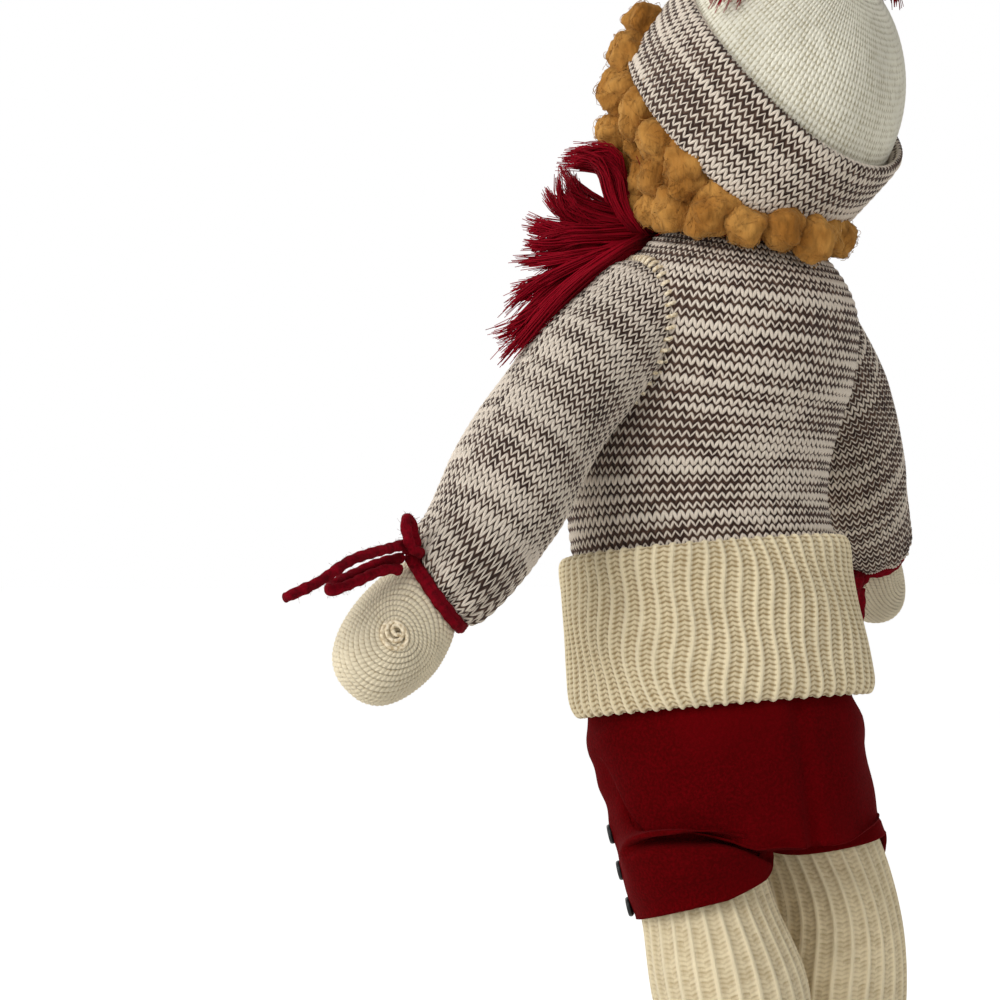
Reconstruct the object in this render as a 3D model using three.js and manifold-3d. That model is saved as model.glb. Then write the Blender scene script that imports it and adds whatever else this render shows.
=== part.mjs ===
// A stuffed doll sewn from knitted socks, standing with its back arched: marled body and sleeves,
// cream hands and ribbed legs, velvet shorts, a turned-up hat, wool hair and red yarn ties.
// Millimetres, +Z up. The doll faces -Y, and its left side is towards +X.

import * as THREE from 'three';
import { mergeVertices } from 'three/addons/utils/BufferGeometryUtils.js';
import Module from 'manifold-3d';

const wasm = await Module();
wasm.setup();

// Fits and cloth
const GAP = 0.3; // between pieces that lie against each other
const TURNING_PLAY = 0.35; // round a limb's head where it turns in its seam
const KNIT = 1.8; // thickness of the knitted skins
const VELVET = 2.2; // thickness of the shorts
const HEM_RISE = 2; // folded edges are rounded over this height
const HEM_ROUND = 1.1; // and over this part of the wall

// Stance, in degrees
const LEAN_BACK = 8; // chest, from upright towards +Y
const LEAN_SIDE = 4.5; // chest, from upright towards -X
const BEND_BACK = 13.6; // hips against the chest, towards +Y
const BEND_SIDE = 7; // hips against the chest, towards -X
const SHOULDER_TURN = 14; // shoulder line turned about the torso's axis, left arm back
const LEFT_ARM_LIFT = 38; // out from the chest's axis
const RIGHT_ARM_LIFT = 50;
const ARM_LOWEST = 29; // arms hang no closer to the torso than this
const LEFT_ARM_FORWARD = -2;
const RIGHT_ARM_FORWARD = 18;
const LEG_SIDE = 8.5; // both legs, foot towards -X
const LEFT_LEG_BACK = 11;
const RIGHT_LEG_BACK = 2;
const LEG_BACK_LIMIT = 30; // how far a leg swings behind the upright
const LEG_FORWARD_LIMIT = 80; // and in front of it
const HEAD_BACK = 2; // head, from the torso's axis
const HEAD_SIDE = 2;
const HAT_BACK = 36; // hat's axis, from the head's axis
const HAT_SIDE = 11;

// Torso outline: half widths, and heights above the hip line
const SEAT_DROP = 25;
const SEAT_R = 36;
const SEAT_H = -19;
const HIP_R = 53.8;
const HIP_H = 12;
const BELLY_R = 53;
const BELLY_H = 66;
const CHEST_R = 55.5;
const CHEST_H = 145;
const SHOULDER_R = 54;
const SHOULDER_H = 191;
const COLLAR_R = 34;
const COLLAR_H = 218;
const TORSO_DEPTH = 0.87; // depth over width
const BEND_TOP = 165; // the back is straight above this height
const BEND_LOW = 95; // and below this one

// Waist cuff and shorts
const CUFF_BOTTOM = 32;
const CUFF_TOP = 92;
const CUFF_WALL = 3.4;
const CUFF_FLARE = 0.5; // how far the free top edge stands off
const CUFF_LIFT = 10; // height of the part that stands off
const SEAT_TOP = 42;
const SHORTS_LEG = 50; // from the hip down to the hem
const BUTTON_R = 4;
const BUTTON_THICK = 2.2;
const BUTTON_BEVEL = 0.6;
const BUTTON_RIM = 1.2; // width of the raised rim
const BUTTON_DISH = 0.7; // depth of the face inside the rim
const BUTTON_FIRST = 12; // first button below the hip
const BUTTON_PITCH = 15;
const BUTTON_TURN = 38; // degrees from the leg's outer side towards the front
const BUTTON_NAMES = ['upper', 'middle', 'lower'];

// Arms: radii, and distances down from the shoulder
const ARM_OUT = 51; // shoulder joint from the torso's axis
const ARM_HEIGHT = 182; // shoulder joint above the hip line
const ARM_AHEAD = 8; // shoulder in front of the torso's axis
const ARM_HEAD_R = 22;
const ARM_RIM = 8; // sleeve's rim above the shoulder's centre
const ARM_R = 26;
const ARM_SWELL = 60;
const FOREARM_R = 24;
const FOREARM_RISE = 35; // above the wrist
const CUFF_R = 19.5;
const CUFF_RISE = 13; // above the wrist
const WRIST_R = 13.5;
const ARM_LENGTH = 142;
const HAND_R = 21.2;
const HAND_SWELL = 24; // below the wrist
const HAND_LENGTH = 55;
const HAND_TIP_R = 13;
const HAND_TIP_RISE = 3.5; // where the hand's end has that radius, above its tip

// Legs: radii, and distances down from the hip
const HIP_OUT = 31;
const HIP_HEIGHT = 205; // hip line above the floor
const THIGH_R = 25.5;
const LEG_RIM = 8; // stocking's rim above the hip's centre
const CALF_R = 28;
const CALF_AT = 76;
const SHIN_R = 24;
const SHIN_AT = 122;
const ANKLE_R = 17.5;
const ANKLE_HEIGHT = 26; // leg's end above the floor, inside the foot

// Feet
const FOOT_HALF_WIDTH = 25;
const FOOT_HALF_LENGTH = 45;
const FOOT_HALF_HEIGHT = 23;
const FOOT_AHEAD = 17; // middle of the foot in front of the ankle
const SOLE_CUT = 0.5; // flat of the sole
const SOLE_SQUARENESS = 4; // power of the sole's round edge

// Neck and head
const NECK_R = 9;
const NECK_BASE_R = 13;
const NECK_FOOT = 1; // height of the neck's broad foot
const NECK_TAPER = 2; // height over which it narrows above the foot
const NECK_BALL_R = 14;
const NECK_RISE = 16; // nodding centre above the collar
const HEAD_R = 49;
const HEAD_RISE = 40; // head's centre above the nodding centre
const HEAD_DEPTH = 0.97;
const HEAD_TALL = 1.03;
const EYE_R = 4.6;
const EYE_THICK = 2.6;
const EYE_OUT = 21; // degrees from the middle of the face
const EYE_UP = -13;
const NOSE_R = 3.6;
const NOSE_DOWN = 23;
const MOUTH_R = 1.3;
const MOUTH_DOWN = 35;
const MOUTH_OUT = 13;
const MOUTH_SAG = 5;

// Hat, about its own axis through the head's centre
const CROWN_R = 53.5;
const CROWN_WALL = 2.5;
const CROWN_TOP = 60;
const CROWN_RIM = -10;
const BRIM_WALL = 3.6;
const BRIM_BOTTOM = -17;
const BRIM_TOP = 22;
const BRIM_FLARE = 0.5;

// Hair: bobbles of wool roving, in rows under the brim and in hanging locks beside the face
const HAIR_R = 11;
const HAIR_OUT = 6.5; // a bobble's centre outside the head
const HAIR_DROP = 7; // centre of the row below the brim
const HAIR_STEP = 20; // degrees between bobbles of a row
const LOCK_OUT = 12; // a lock's bobbles outside the head
const LOCK_TURNS = [104, 124]; // degrees from the back, each side
const LOCK_TOP = 25; // degrees of the lock's highest bobble above the head's middle
const LOCK_COUNT = 4;
const LOCK_STEP = 17;

// Yarn and floss
const YARN_R = 2;
const TIE_R = 2.6; // the doubled yarn round the neck
const TIE_SLACK = 0.7; // between the wrist and its tie
const LEFT_BOW_TURN = 0; // degrees of the wrist's knot round the arm, from its outer side to the back
const RIGHT_BOW_TURN = 140;
const WRIST_KNOT_R = 3.6;
const LOWER_LOOP_OUT = 4; // a loop's start outside the knot's centre
const UPPER_LOOP_OUT = 2;
const TASSEL_KNOT_R = 7;
const TASSEL_SEAT = 4; // knot's centre outside the tie
const TASSEL_DROP = 4; // knot's centre below the tie
const TASSEL_TURN = 20; // degrees of the neck knot in front of the left side
const LOBE_R = 8.5;
const LOBE_ROOT_R = 3.5;
const LOBE_TIP_R = 2.2;

// Routes by hand. Wrist yarn: x out from the wrist's side, y to the back, z up the arm, from the knot.
const TAIL_ROUTE = [[0, 0, 0], [4, 1, 0.5], [10, 3, -2], [18, 5, -9], [25, 6, -19], [32, 6, -31], [40, 6, -44]];
const LOWER_LOOP_ROUTE = [
	[0, 0, 0], [4.5, -1, -5], [10, -2, -11], [16, -1, -18], [19.5, 2, -23], [19, 6.5, -24], [14.5, 8.5, -20],
	[9, 8.5, -13], [4, 6.5, -7.5], [0, 4.5, -4.6],
];
const UPPER_LOOP_ROUTE = [
	[0, 0, 0], [2.6, 0.6, 4.6], [6, 1, 9.5], [9.6, 3, 12], [9.2, 6.6, 10.4], [6, 7.4, 5.8], [2.6, 6.2, 2], [0, 4.6, 0],
];
// Tassel lobes, from the knot: x to the doll's left, y to the back, z up
const NECK_LOBES = [
	[[0, 0, 0], [12, 0, 8], [24, 2, 18], [34, 3, 25], [42, 2, 27]],
	[[0, 0, 0], [15, 1, 6], [29, 2, 9], [45, 2, 8]],
	[[0, 0, 0], [18, -2, 0], [36, -3, -3], [53, -3, -9]],
	[[0, 0, 0], [20, -9, -4], [37, -14, -16], [52, -15, -32], [61, -14, -50]],
];
const HAT_LOBES = [
	[[0, 0, 0], [13, 3, 8], [26, 5, 6], [36, 6, -5]],
	[[0, 0, 0], [-13, 3, 8], [-26, 4, 6], [-35, 5, -5]],
	[[0, 0, 0], [3, -13, 8], [5, -26, 6], [7, -36, -5]],
];

// Faces round a form and along its outline
const BODY_SIDES = 18;
const LIMB_SIDES = 12;
const SMALL_SIDES = 10;
const BALL_ROWS = 7;
const HEAD_ROWS = 10;
const FOOT_ROWS = 10;
const KNOT_ROWS = 5;
const BODY_STEPS = 11;
const LIMB_STEPS = 7;
const HAND_STEPS = 6;
const DOME_STEPS = 6;
const CAP_STEPS = 4;
const RIM_STEPS = 2;
const YARN_SIDES = 8;
const YARN_PITCH = 2; // diameters of yarn between its rings of corners
const RING_SIDES = 6;
const BOBBLE_SIDES = 6;
const BOBBLE_ROWS = 4;
const LOBE_STEPS = 5;
const FAR = 160; // reaches past everything that a cutter meets
const MERGE = 1e-4;

const radians = THREE.MathUtils.degToRad;
const flatShare = (sides) => Math.cos(Math.PI / sides); // of a many-sided ring's radius, to its flats
const point = (x, y) => new THREE.Vector2(x, y);

// Solids

function solid(geometry) {
	const bare = geometry.clone();
	bare.deleteAttribute('normal');
	bare.deleteAttribute('uv');
	const merged = mergeVertices(bare, MERGE);
	const source = merged.index.array;
	const corners = merged.attributes.position;
	const triangles = [];
	const [a, b, c] = [new THREE.Vector3(), new THREE.Vector3(), new THREE.Vector3()];
	let volume = 0;
	for (let i = 0; i < source.length; i += 3) {
		const [p, q, r] = [source[i], source[i + 1], source[i + 2]];
		if (p === q || q === r || r === p) continue;
		triangles.push(p, q, r);
		a.fromBufferAttribute(corners, p);
		b.fromBufferAttribute(corners, q);
		c.fromBufferAttribute(corners, r);
		volume += a.dot(b.cross(c));
	}
	if (volume < 0) triangles.reverse();
	return new wasm.Manifold(new wasm.Mesh({
		numProp: 3,
		vertProperties: new Float32Array(corners.array),
		triVerts: new Uint32Array(triangles),
	}));
}

function geometryOf(body) {
	const mesh = body.getMesh();
	const geometry = new THREE.BufferGeometry();
	geometry.setAttribute('position', new THREE.BufferAttribute(new Float32Array(mesh.vertProperties), 3));
	geometry.setIndex(new THREE.BufferAttribute(new Uint32Array(mesh.triVerts), 1));
	geometry.computeVertexNormals();
	return geometry;
}

const fuse = (bodies) => bodies.reduce((whole, body) => whole.add(body));
const moved = (geometry, matrix) => geometry.clone().applyMatrix4(matrix);

// Forms

// A smooth outline through stations of [radius, height], from the lowest to the highest
function outline(stations, steps) {
	const curve = new THREE.SplineCurve(stations.map(([r, h]) => point(r, h)));
	return curve.getPoints(steps).map((p) => point(Math.max(p.x, 0), p.y));
}

// The same outline drawn in by a wall, or let out by a negative one
function inset(points, wall) {
	return points.map((p, i) => {
		const before = points[Math.max(i - 1, 0)];
		const after = points[Math.min(i + 1, points.length - 1)];
		const along = after.clone().sub(before).normalize();
		const onAxis = p.x < MERGE;
		return point(onAxis ? 0 : Math.max(p.x - along.y * wall, 0), p.y + (onAxis ? wall : along.x * wall));
	});
}

function radiusAt(points, height) {
	const i = Math.max(1, points.findIndex((p) => p.y >= height));
	const [low, high] = [points[i - 1], points[i]];
	return THREE.MathUtils.mapLinear(height, low.y, high.y, low.x, high.x);
}

function below(points, height) {
	return [...points.filter((p) => p.y < height - MERGE), point(radiusAt(points, height), height)];
}

function revolve(profile, sides, depth = 1) {
	return new THREE.LatheGeometry(profile, sides).rotateX(Math.PI / 2).scale(1, depth, 1);
}

const cup = (outer, inner) => [...outer, ...[...inner].reverse()];
const tube = (outer, inner) => [...cup(outer, inner), outer[0]];
const filled = (points) => [...points, point(0, points.at(-1).y)];

function arc(radius, from, to, steps) {
	return Array.from({ length: steps + 1 }, (_, i) => {
		const angle = THREE.MathUtils.lerp(from, to, i / steps);
		return point(radius * Math.cos(angle), radius * Math.sin(angle));
	});
}

const ball = (radius, sides = SMALL_SIDES, rows = BALL_ROWS) => new THREE.SphereGeometry(radius, sides, rows);

// A ball that holds a round one of the given radius, also at the middle of its faces
const ballShare = flatShare(LIMB_SIDES) * flatShare(2 * LIMB_SIDES);
const ballRoom = (radius) => ball(radius / ballShare, LIMB_SIDES, LIMB_SIDES);

function yarn(route, radius, matrix) {
	const curve = new THREE.CatmullRomCurve3(route.map((p) => new THREE.Vector3(...p).applyMatrix4(matrix)));
	const section = new THREE.Shape(arc(radius, 0, (2 * Math.PI * (YARN_SIDES - 1)) / YARN_SIDES, YARN_SIDES - 1));
	const steps = Math.ceil(curve.getLength() / (YARN_PITCH * 2 * radius));
	return new THREE.ExtrudeGeometry(section, { steps, extrudePath: curve, bevelEnabled: false });
}

// A lobe of floss: a round section that swells along its route and ends in a blunt tip
function lobe(route) {
	const curve = new THREE.CatmullRomCurve3(route.map((p) => new THREE.Vector3(...p)));
	const frames = curve.computeFrenetFrames(LOBE_STEPS, false);
	const corners = [curve.getPointAt(0)];
	for (let i = 0; i <= LOBE_STEPS; i++) {
		const share = i / LOBE_STEPS;
		const taper = THREE.MathUtils.lerp(LOBE_ROOT_R, LOBE_TIP_R, share);
		const radius = taper + (LOBE_R - LOBE_ROOT_R) * Math.sin(Math.PI * share);
		for (let side = 0; side < YARN_SIDES; side++) {
			const turn = (2 * Math.PI * side) / YARN_SIDES;
			corners.push(curve.getPointAt(share)
				.addScaledVector(frames.normals[i], radius * Math.cos(turn))
				.addScaledVector(frames.binormals[i], radius * Math.sin(turn)));
		}
	}
	corners.push(curve.getPointAt(1));
	const last = corners.length - 1;
	const triangles = [];
	for (let side = 0; side < YARN_SIDES; side++) {
		const next = (side + 1) % YARN_SIDES;
		triangles.push(0, 1 + next, 1 + side);
		triangles.push(last, last - YARN_SIDES + side, last - YARN_SIDES + next);
		for (let i = 0; i < LOBE_STEPS; i++) {
			const ring = 1 + i * YARN_SIDES;
			triangles.push(ring + side, ring + next, ring + YARN_SIDES + side);
			triangles.push(ring + next, ring + YARN_SIDES + next, ring + YARN_SIDES + side);
		}
	}
	const geometry = new THREE.BufferGeometry().setFromPoints(corners);
	geometry.setIndex(triangles);
	return geometry;
}

// Colours
const COLOURS = {
	marl: 0xa3948a,
	cream: 0xe2d6b6,
	stuffing: 0xf0ece2,
	velvet: 0x650512,
	yarn: 0x860a20,
	roving: 0xb27f3c,
	button: 0x15130f,
};

function piece(name, geometry, colour, roughness = 0.95) {
	const material = new THREE.MeshStandardMaterial({ color: COLOURS[colour], roughness, metalness: 0 });
	const mesh = new THREE.Mesh(geometry, material);
	mesh.name = name;
	return mesh;
}

function frameAt(name, position, rotation = [0, 0, 0], order = 'XYZ') {
	const group = new THREE.Group();
	group.name = name;
	group.position.set(...position);
	group.rotation.set(...rotation.map(radians), order);
	return group;
}

// The bend of the back: hips carried to the back and the side under a straight chest
const bendSlope = new THREE.Vector3(-Math.tan(radians(BEND_SIDE)), Math.tan(radians(BEND_BACK)), 0);

function bendShift(height) {
	const span = BEND_TOP - BEND_LOW;
	return bendShare(height) ** 2 * span / 2 + Math.max(BEND_LOW - height, 0);
}

function bendShare(height) {
	return THREE.MathUtils.clamp((BEND_TOP - height) / (BEND_TOP - BEND_LOW), 0, 1);
}

function bent(geometry) {
	const corners = geometry.attributes.position;
	const corner = new THREE.Vector3();
	for (let i = 0; i < corners.count; i++) {
		corner.fromBufferAttribute(corners, i);
		const tip = bendShare(corner.z) * corner.dot(bendSlope);
		corner.addScaledVector(bendSlope, bendShift(corner.z));
		corners.setXYZ(i, corner.x, corner.y, corner.z + tip);
	}
	return geometry;
}

const doll = new THREE.Group();
const torso = frameAt('torso', [0, 0, 0], [-LEAN_BACK, -LEAN_SIDE, 0]);
torso.position.addScaledVector(bendSlope, -bendShift(0)).applyEuler(torso.rotation);
torso.position.z += HIP_HEIGHT;
doll.add(torso);
doll.updateMatrixWorld(true);
const toTorso = torso.matrixWorld.clone().invert();

// Outlines that several pieces share
const torsoOutline = outline([
	[0, -SEAT_DROP], [SEAT_R, SEAT_H], [HIP_R, HIP_H], [BELLY_R, BELLY_H],
	[CHEST_R, CHEST_H], [SHOULDER_R, SHOULDER_H], [COLLAR_R, COLLAR_H],
], BODY_STEPS);
const handOutline = outline([
	[0, -ARM_LENGTH - HAND_LENGTH], [HAND_TIP_R, HAND_TIP_RISE - ARM_LENGTH - HAND_LENGTH],
	[HAND_R, -ARM_LENGTH - HAND_SWELL], [WRIST_R, -ARM_LENGTH - GAP],
], HAND_STEPS);
const sleeveOutline = [
	...outline([
		[WRIST_R, -ARM_LENGTH], [CUFF_R, CUFF_RISE - ARM_LENGTH], [FOREARM_R, FOREARM_RISE - ARM_LENGTH],
		[ARM_R, -ARM_SWELL], [ARM_HEAD_R, 0],
	], LIMB_STEPS),
	...arc(ARM_HEAD_R, 0, Math.asin(ARM_RIM / ARM_HEAD_R), RIM_STEPS).slice(1),
];

function legOutline(length) {
	return [
		...outline([
			[ANKLE_R, -length], [SHIN_R, -SHIN_AT], [CALF_R, -CALF_AT], [THIGH_R, -SHORTS_LEG], [THIGH_R, 0],
		], LIMB_STEPS),
		...arc(THIGH_R, 0, Math.asin(LEG_RIM / THIGH_R), RIM_STEPS).slice(1),
	];
}

// Arms' frames: the shoulder swings forward, and the arm in it lifts outward
function armFrames(side, name, forward, lift, bowTurn) {
	const turn = radians(SHOULDER_TURN);
	const place = [side * ARM_OUT * Math.cos(turn), side * ARM_OUT * Math.sin(turn) - ARM_AHEAD, ARM_HEIGHT];
	const shoulder = frameAt(`${name}_shoulder`, place, [-forward, 0, SHOULDER_TURN], 'ZXY');
	const arm = frameAt(`${name}_arm`, [0, 0, 0], [0, -side * lift, 0]);
	torso.add(shoulder);
	shoulder.add(arm);
	return { side, name, shoulder, arm, bowTurn };
}

const arms = [
	armFrames(1, 'left', LEFT_ARM_FORWARD, LEFT_ARM_LIFT, LEFT_BOW_TURN),
	armFrames(-1, 'right', RIGHT_ARM_FORWARD, RIGHT_ARM_LIFT, RIGHT_BOW_TURN),
];

// The space that a sleeve takes as it swings about its shoulder's own axis at its lowest
function sleeveSweep({ side, shoulder }) {
	const lift = radians(ARM_LOWEST);
	const room = ARM_HEAD_R + TURNING_PLAY;
	const edge = inset(sleeveOutline, -TURNING_PLAY).filter((p) => p.y < TURNING_PLAY).reverse();
	const inner = edge.map((p) => point(
		p.x * Math.sin(lift) - p.y * Math.cos(lift),
		-p.x * Math.cos(lift) - p.y * Math.sin(lift),
	));
	const cap = arc(room, -Math.PI / 2, Math.atan2(inner[0].y, inner[0].x), RIM_STEPS).slice(0, -1);
	const profile = [...cap, ...inner, point(inner.at(-1).x, FAR), point(0, FAR)];
	const wide = 1 / flatShare(BODY_SIDES);
	const geometry = revolve(profile, BODY_SIDES).scale(wide, wide, 1).rotateY(side * Math.PI / 2);
	shoulder.updateMatrix();
	return solid(moved(geometry, shoulder.matrix)).add(solid(moved(ballRoom(room), shoulder.matrix)));
}

// Legs' frames, and the space that a leg takes between its limits
function legFrame(side, name, back) {
	const leg = frameAt(`${name}_leg`, [side * HIP_OUT, 0, HIP_HEIGHT], [back, LEG_SIDE, 0]);
	doll.add(leg);
	leg.updateMatrixWorld(true);
	return { side, name, back, leg };
}

const legs = [legFrame(1, 'left', LEFT_LEG_BACK), legFrame(-1, 'right', RIGHT_LEG_BACK)];
const shortsInner = THIGH_R + GAP;
const shortsOuter = shortsInner + VELVET;

function legSweep() {
	const room = (shortsOuter + TURNING_PLAY) / flatShare(LIMB_SIDES);
	const capsule = revolve([point(0, -FAR), point(room, -FAR), ...arc(room, 0, Math.PI / 2, CAP_STEPS)], LIMB_SIDES);
	const [back, front] = [radians(LEG_BACK_LIMIT), radians(LEG_FORWARD_LIMIT)];
	const wedge = new THREE.Shape([
		point(0, 0), point(FAR * Math.sin(back), -FAR * Math.cos(back)), point(0, -FAR),
		point(-FAR * Math.sin(front), -FAR), point(-FAR * Math.sin(front), -FAR * Math.cos(front)),
	]);
	const width = 2 * (HIP_OUT + room);
	const fan = new THREE.ExtrudeGeometry(wedge, { depth: width, bevelEnabled: false })
		.translate(0, 0, -width / 2)
		.applyMatrix4(new THREE.Matrix4().set(0, 0, 1, 0, 1, 0, 0, 0, 0, 1, 0, HIP_HEIGHT, 0, 0, 0, 1));
	const cutters = [solid(moved(fan, toTorso))];
	for (const { side } of legs) {
		for (const swing of [back, -front]) {
			const turn = new THREE.Euler(swing, radians(LEG_SIDE), 0);
			const place = new THREE.Matrix4().makeRotationFromEuler(turn).setPosition(side * HIP_OUT, 0, HIP_HEIGHT);
			cutters.push(solid(moved(capsule, place.premultiply(toTorso))));
		}
	}
	return fuse(cutters);
}

// Torso, cuff and the seat of the shorts
const limbRoom = fuse([legSweep(), ...arms.map(sleeveSweep)]);
const torsoCore = filled(inset(torsoOutline, KNIT + GAP));
const torsoSkin = solid(bent(revolve(cup(torsoOutline, inset(torsoOutline, KNIT)), BODY_SIDES, TORSO_DEPTH)));
const torsoFilling = solid(bent(revolve(torsoCore, BODY_SIDES, TORSO_DEPTH)));
torso.add(piece('torso_skin', geometryOf(torsoSkin.subtract(limbRoom)), 'marl'));
torso.add(piece('torso_filling', geometryOf(torsoFilling.subtract(limbRoom)), 'stuffing', 1));

const seatInner = below(inset(torsoOutline, -GAP), SEAT_TOP);
const seatOuter = below(inset(torsoOutline, -GAP - VELVET), SEAT_TOP);
const seat = solid(bent(revolve(cup(seatOuter, seatInner), BODY_SIDES, TORSO_DEPTH))).subtract(limbRoom);
torso.add(piece('shorts_seat', geometryOf(seat), 'velvet', 0.8));

const cuffInner = radiusAt(seatOuter, CUFF_BOTTOM) + GAP;
const cuffOuter = cuffInner + CUFF_WALL;
const cuffSection = [
	[cuffInner, CUFF_BOTTOM + HEM_RISE], [cuffInner + HEM_ROUND, CUFF_BOTTOM], [cuffOuter - HEM_ROUND, CUFF_BOTTOM],
	[cuffOuter, CUFF_BOTTOM + HEM_RISE], [cuffOuter, (CUFF_BOTTOM + CUFF_TOP) / 2],
	[cuffOuter + CUFF_FLARE, CUFF_TOP - HEM_RISE], [cuffOuter + CUFF_FLARE - HEM_ROUND, CUFF_TOP],
	[cuffInner + CUFF_FLARE, CUFF_TOP], [cuffInner, CUFF_TOP - CUFF_LIFT], [cuffInner, CUFF_BOTTOM + HEM_RISE],
].map(([r, h]) => point(r, h));
torso.add(piece('waist_cuff', bent(revolve(cuffSection, BODY_SIDES, TORSO_DEPTH)), 'cream'));

// Neck and its tie, and the head's frame
const nodCentre = COLLAR_H + NECK_RISE;
const head = frameAt('head', [0, 0, nodCentre], [-HEAD_BACK, -HEAD_SIDE, 0]);
head.updateMatrix();
torso.add(head);
const neckFoot = torsoCore.at(-1).y + GAP;
const ballStart = -Math.acos(NECK_R / NECK_BALL_R);
const neckOutline = [
	point(0, neckFoot), point(NECK_BASE_R, neckFoot), point(NECK_BASE_R, neckFoot + NECK_FOOT),
	point(NECK_R, neckFoot + NECK_FOOT + NECK_TAPER),
	...arc(NECK_BALL_R, ballStart, Math.PI / 2, DOME_STEPS).map((p) => point(p.x, p.y + nodCentre)),
];
torso.add(piece('neck_filling', revolve(neckOutline, LIMB_SIDES), 'stuffing', 1));

const tieRadius = COLLAR_R - KNIT / 2;
const tieHeight = COLLAR_H + KNIT + GAP + TIE_R;
const tieRing = (radius) => new THREE.TorusGeometry(tieRadius, radius, RING_SIDES, BODY_SIDES)
	.scale(1, TORSO_DEPTH, 1)
	.translate(0, 0, tieHeight);
torso.add(piece('neck_tie', tieRing(TIE_R), 'yarn'));

// Arms
const sleeveInner = inset(sleeveOutline, KNIT);
const wadRadius = (ARM_HEAD_R - KNIT) * flatShare(LIMB_SIDES) - GAP;
const yarnRingRadius = WRIST_R + TIE_SLACK + YARN_R;
const wristRing = (radius) => new THREE.TorusGeometry(yarnRingRadius, radius, RING_SIDES, LIMB_SIDES)
	.translate(0, 0, -ARM_LENGTH - GAP / 2);

function buildArm({ side, name, shoulder, arm, bowTurn }) {
	shoulder.add(piece(`${name}_shoulder_wad`, ball(wadRadius), 'stuffing', 1));
	const groove = solid(wristRing(YARN_R + GAP));
	const sleeve = solid(revolve(tube(sleeveOutline, sleeveInner), LIMB_SIDES)).subtract(groove);
	arm.add(piece(`${name}_sleeve`, geometryOf(sleeve), 'marl'));
	const hand = solid(revolve(cup(handOutline, inset(handOutline, KNIT)), LIMB_SIDES)).subtract(groove);
	arm.add(piece(`${name}_hand`, geometryOf(hand), 'cream'));
	const core = [handOutline, sleeveOutline].flatMap((edge) => inset(edge, KNIT + GAP)).filter((p) => p.y < -ARM_RIM);
	const filling = solid(revolve(filled(core), LIMB_SIDES)).subtract(solid(ballRoom(wadRadius + GAP)));
	arm.add(piece(`${name}_arm_filling`, geometryOf(filling), 'stuffing', 1));

	const knotOut = yarnRingRadius + YARN_R;
	const onWrist = (geometry) => {
		if (side < 0) geometry.scale(-1, 1, 1);
		return solid(geometry.rotateZ(side * radians(bowTurn)));
	};
	const knot = onWrist(ball(WRIST_KNOT_R, YARN_SIDES, KNOT_ROWS).translate(knotOut, 0, -ARM_LENGTH));
	arm.add(piece(`${name}_wrist_tie`, geometryOf(solid(wristRing(YARN_R)).add(knot)), 'yarn'));
	const clear = WRIST_KNOT_R + GAP;
	const routes = { tail: TAIL_ROUTE, lower_loop: LOWER_LOOP_ROUTE, upper_loop: UPPER_LOOP_ROUTE };
	const starts = {
		tail: [clear, 0, 0],
		lower_loop: [LOWER_LOOP_OUT, 0, -clear],
		upper_loop: [UPPER_LOOP_OUT, 0, clear],
	};
	for (const [kind, route] of Object.entries(routes)) {
		const [x, y, z] = starts[kind];
		const matrix = new THREE.Matrix4().makeTranslation(knotOut + x, y, z - ARM_LENGTH);
		arm.add(piece(`${name}_wrist_${kind}`, geometryOf(onWrist(yarn(route, YARN_R, matrix))), 'yarn'));
	}
}

arms.forEach(buildArm);

// Head
const headForm = (radius) => ball(radius, BODY_SIDES, HEAD_ROWS)
	.rotateX(Math.PI / 2)
	.scale(1, HEAD_DEPTH, HEAD_TALL)
	.translate(0, 0, HEAD_RISE);
const neckRoom = solid(ballRoom(NECK_BALL_R + TURNING_PLAY));
const headRoom = solid(headForm(HEAD_R + GAP));
const headSkin = solid(headForm(HEAD_R)).subtract(solid(headForm(HEAD_R - KNIT))).subtract(neckRoom);
head.add(piece('head_skin', geometryOf(headSkin), 'cream'));
const headFilling = solid(headForm(HEAD_R - KNIT - GAP)).subtract(neckRoom);
head.add(piece('head_filling', geometryOf(headFilling), 'stuffing', 1));

// A place on the head's surface: degrees to the doll's left of the face's middle, and degrees up
function onFace(left, up) {
	const [turn, rise] = [radians(left), radians(up)];
	return new THREE.Vector3(
		HEAD_R * Math.sin(turn) * Math.cos(rise),
		-HEAD_R * HEAD_DEPTH * Math.cos(turn) * Math.cos(rise),
		HEAD_R * HEAD_TALL * Math.sin(rise) + HEAD_RISE,
	);
}

function faceBead(name, radius, thick, left, up, colour) {
	const bead = ball(radius)
		.scale(1, thick / radius, 1)
		.rotateZ(radians(left))
		.translate(...onFace(left, up));
	head.add(piece(name, geometryOf(solid(bead).subtract(headRoom)), colour, 0.5));
}

faceBead('left_eye', EYE_R, EYE_THICK, EYE_OUT, EYE_UP, 'button');
faceBead('right_eye', EYE_R, EYE_THICK, -EYE_OUT, EYE_UP, 'button');
faceBead('nose', NOSE_R, NOSE_R, 0, -NOSE_DOWN, 'cream');

const mouthRoute = [-1, -0.5, 0, 0.5, 1].map((share) => {
	const sag = MOUTH_SAG * (1 - share * share);
	return onFace(share * MOUTH_OUT, -MOUTH_DOWN - sag).toArray();
});
const mouth = solid(yarn(mouthRoute, MOUTH_R + GAP, new THREE.Matrix4())).subtract(headRoom);
head.add(piece('mouth', geometryOf(mouth), 'yarn'));

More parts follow.
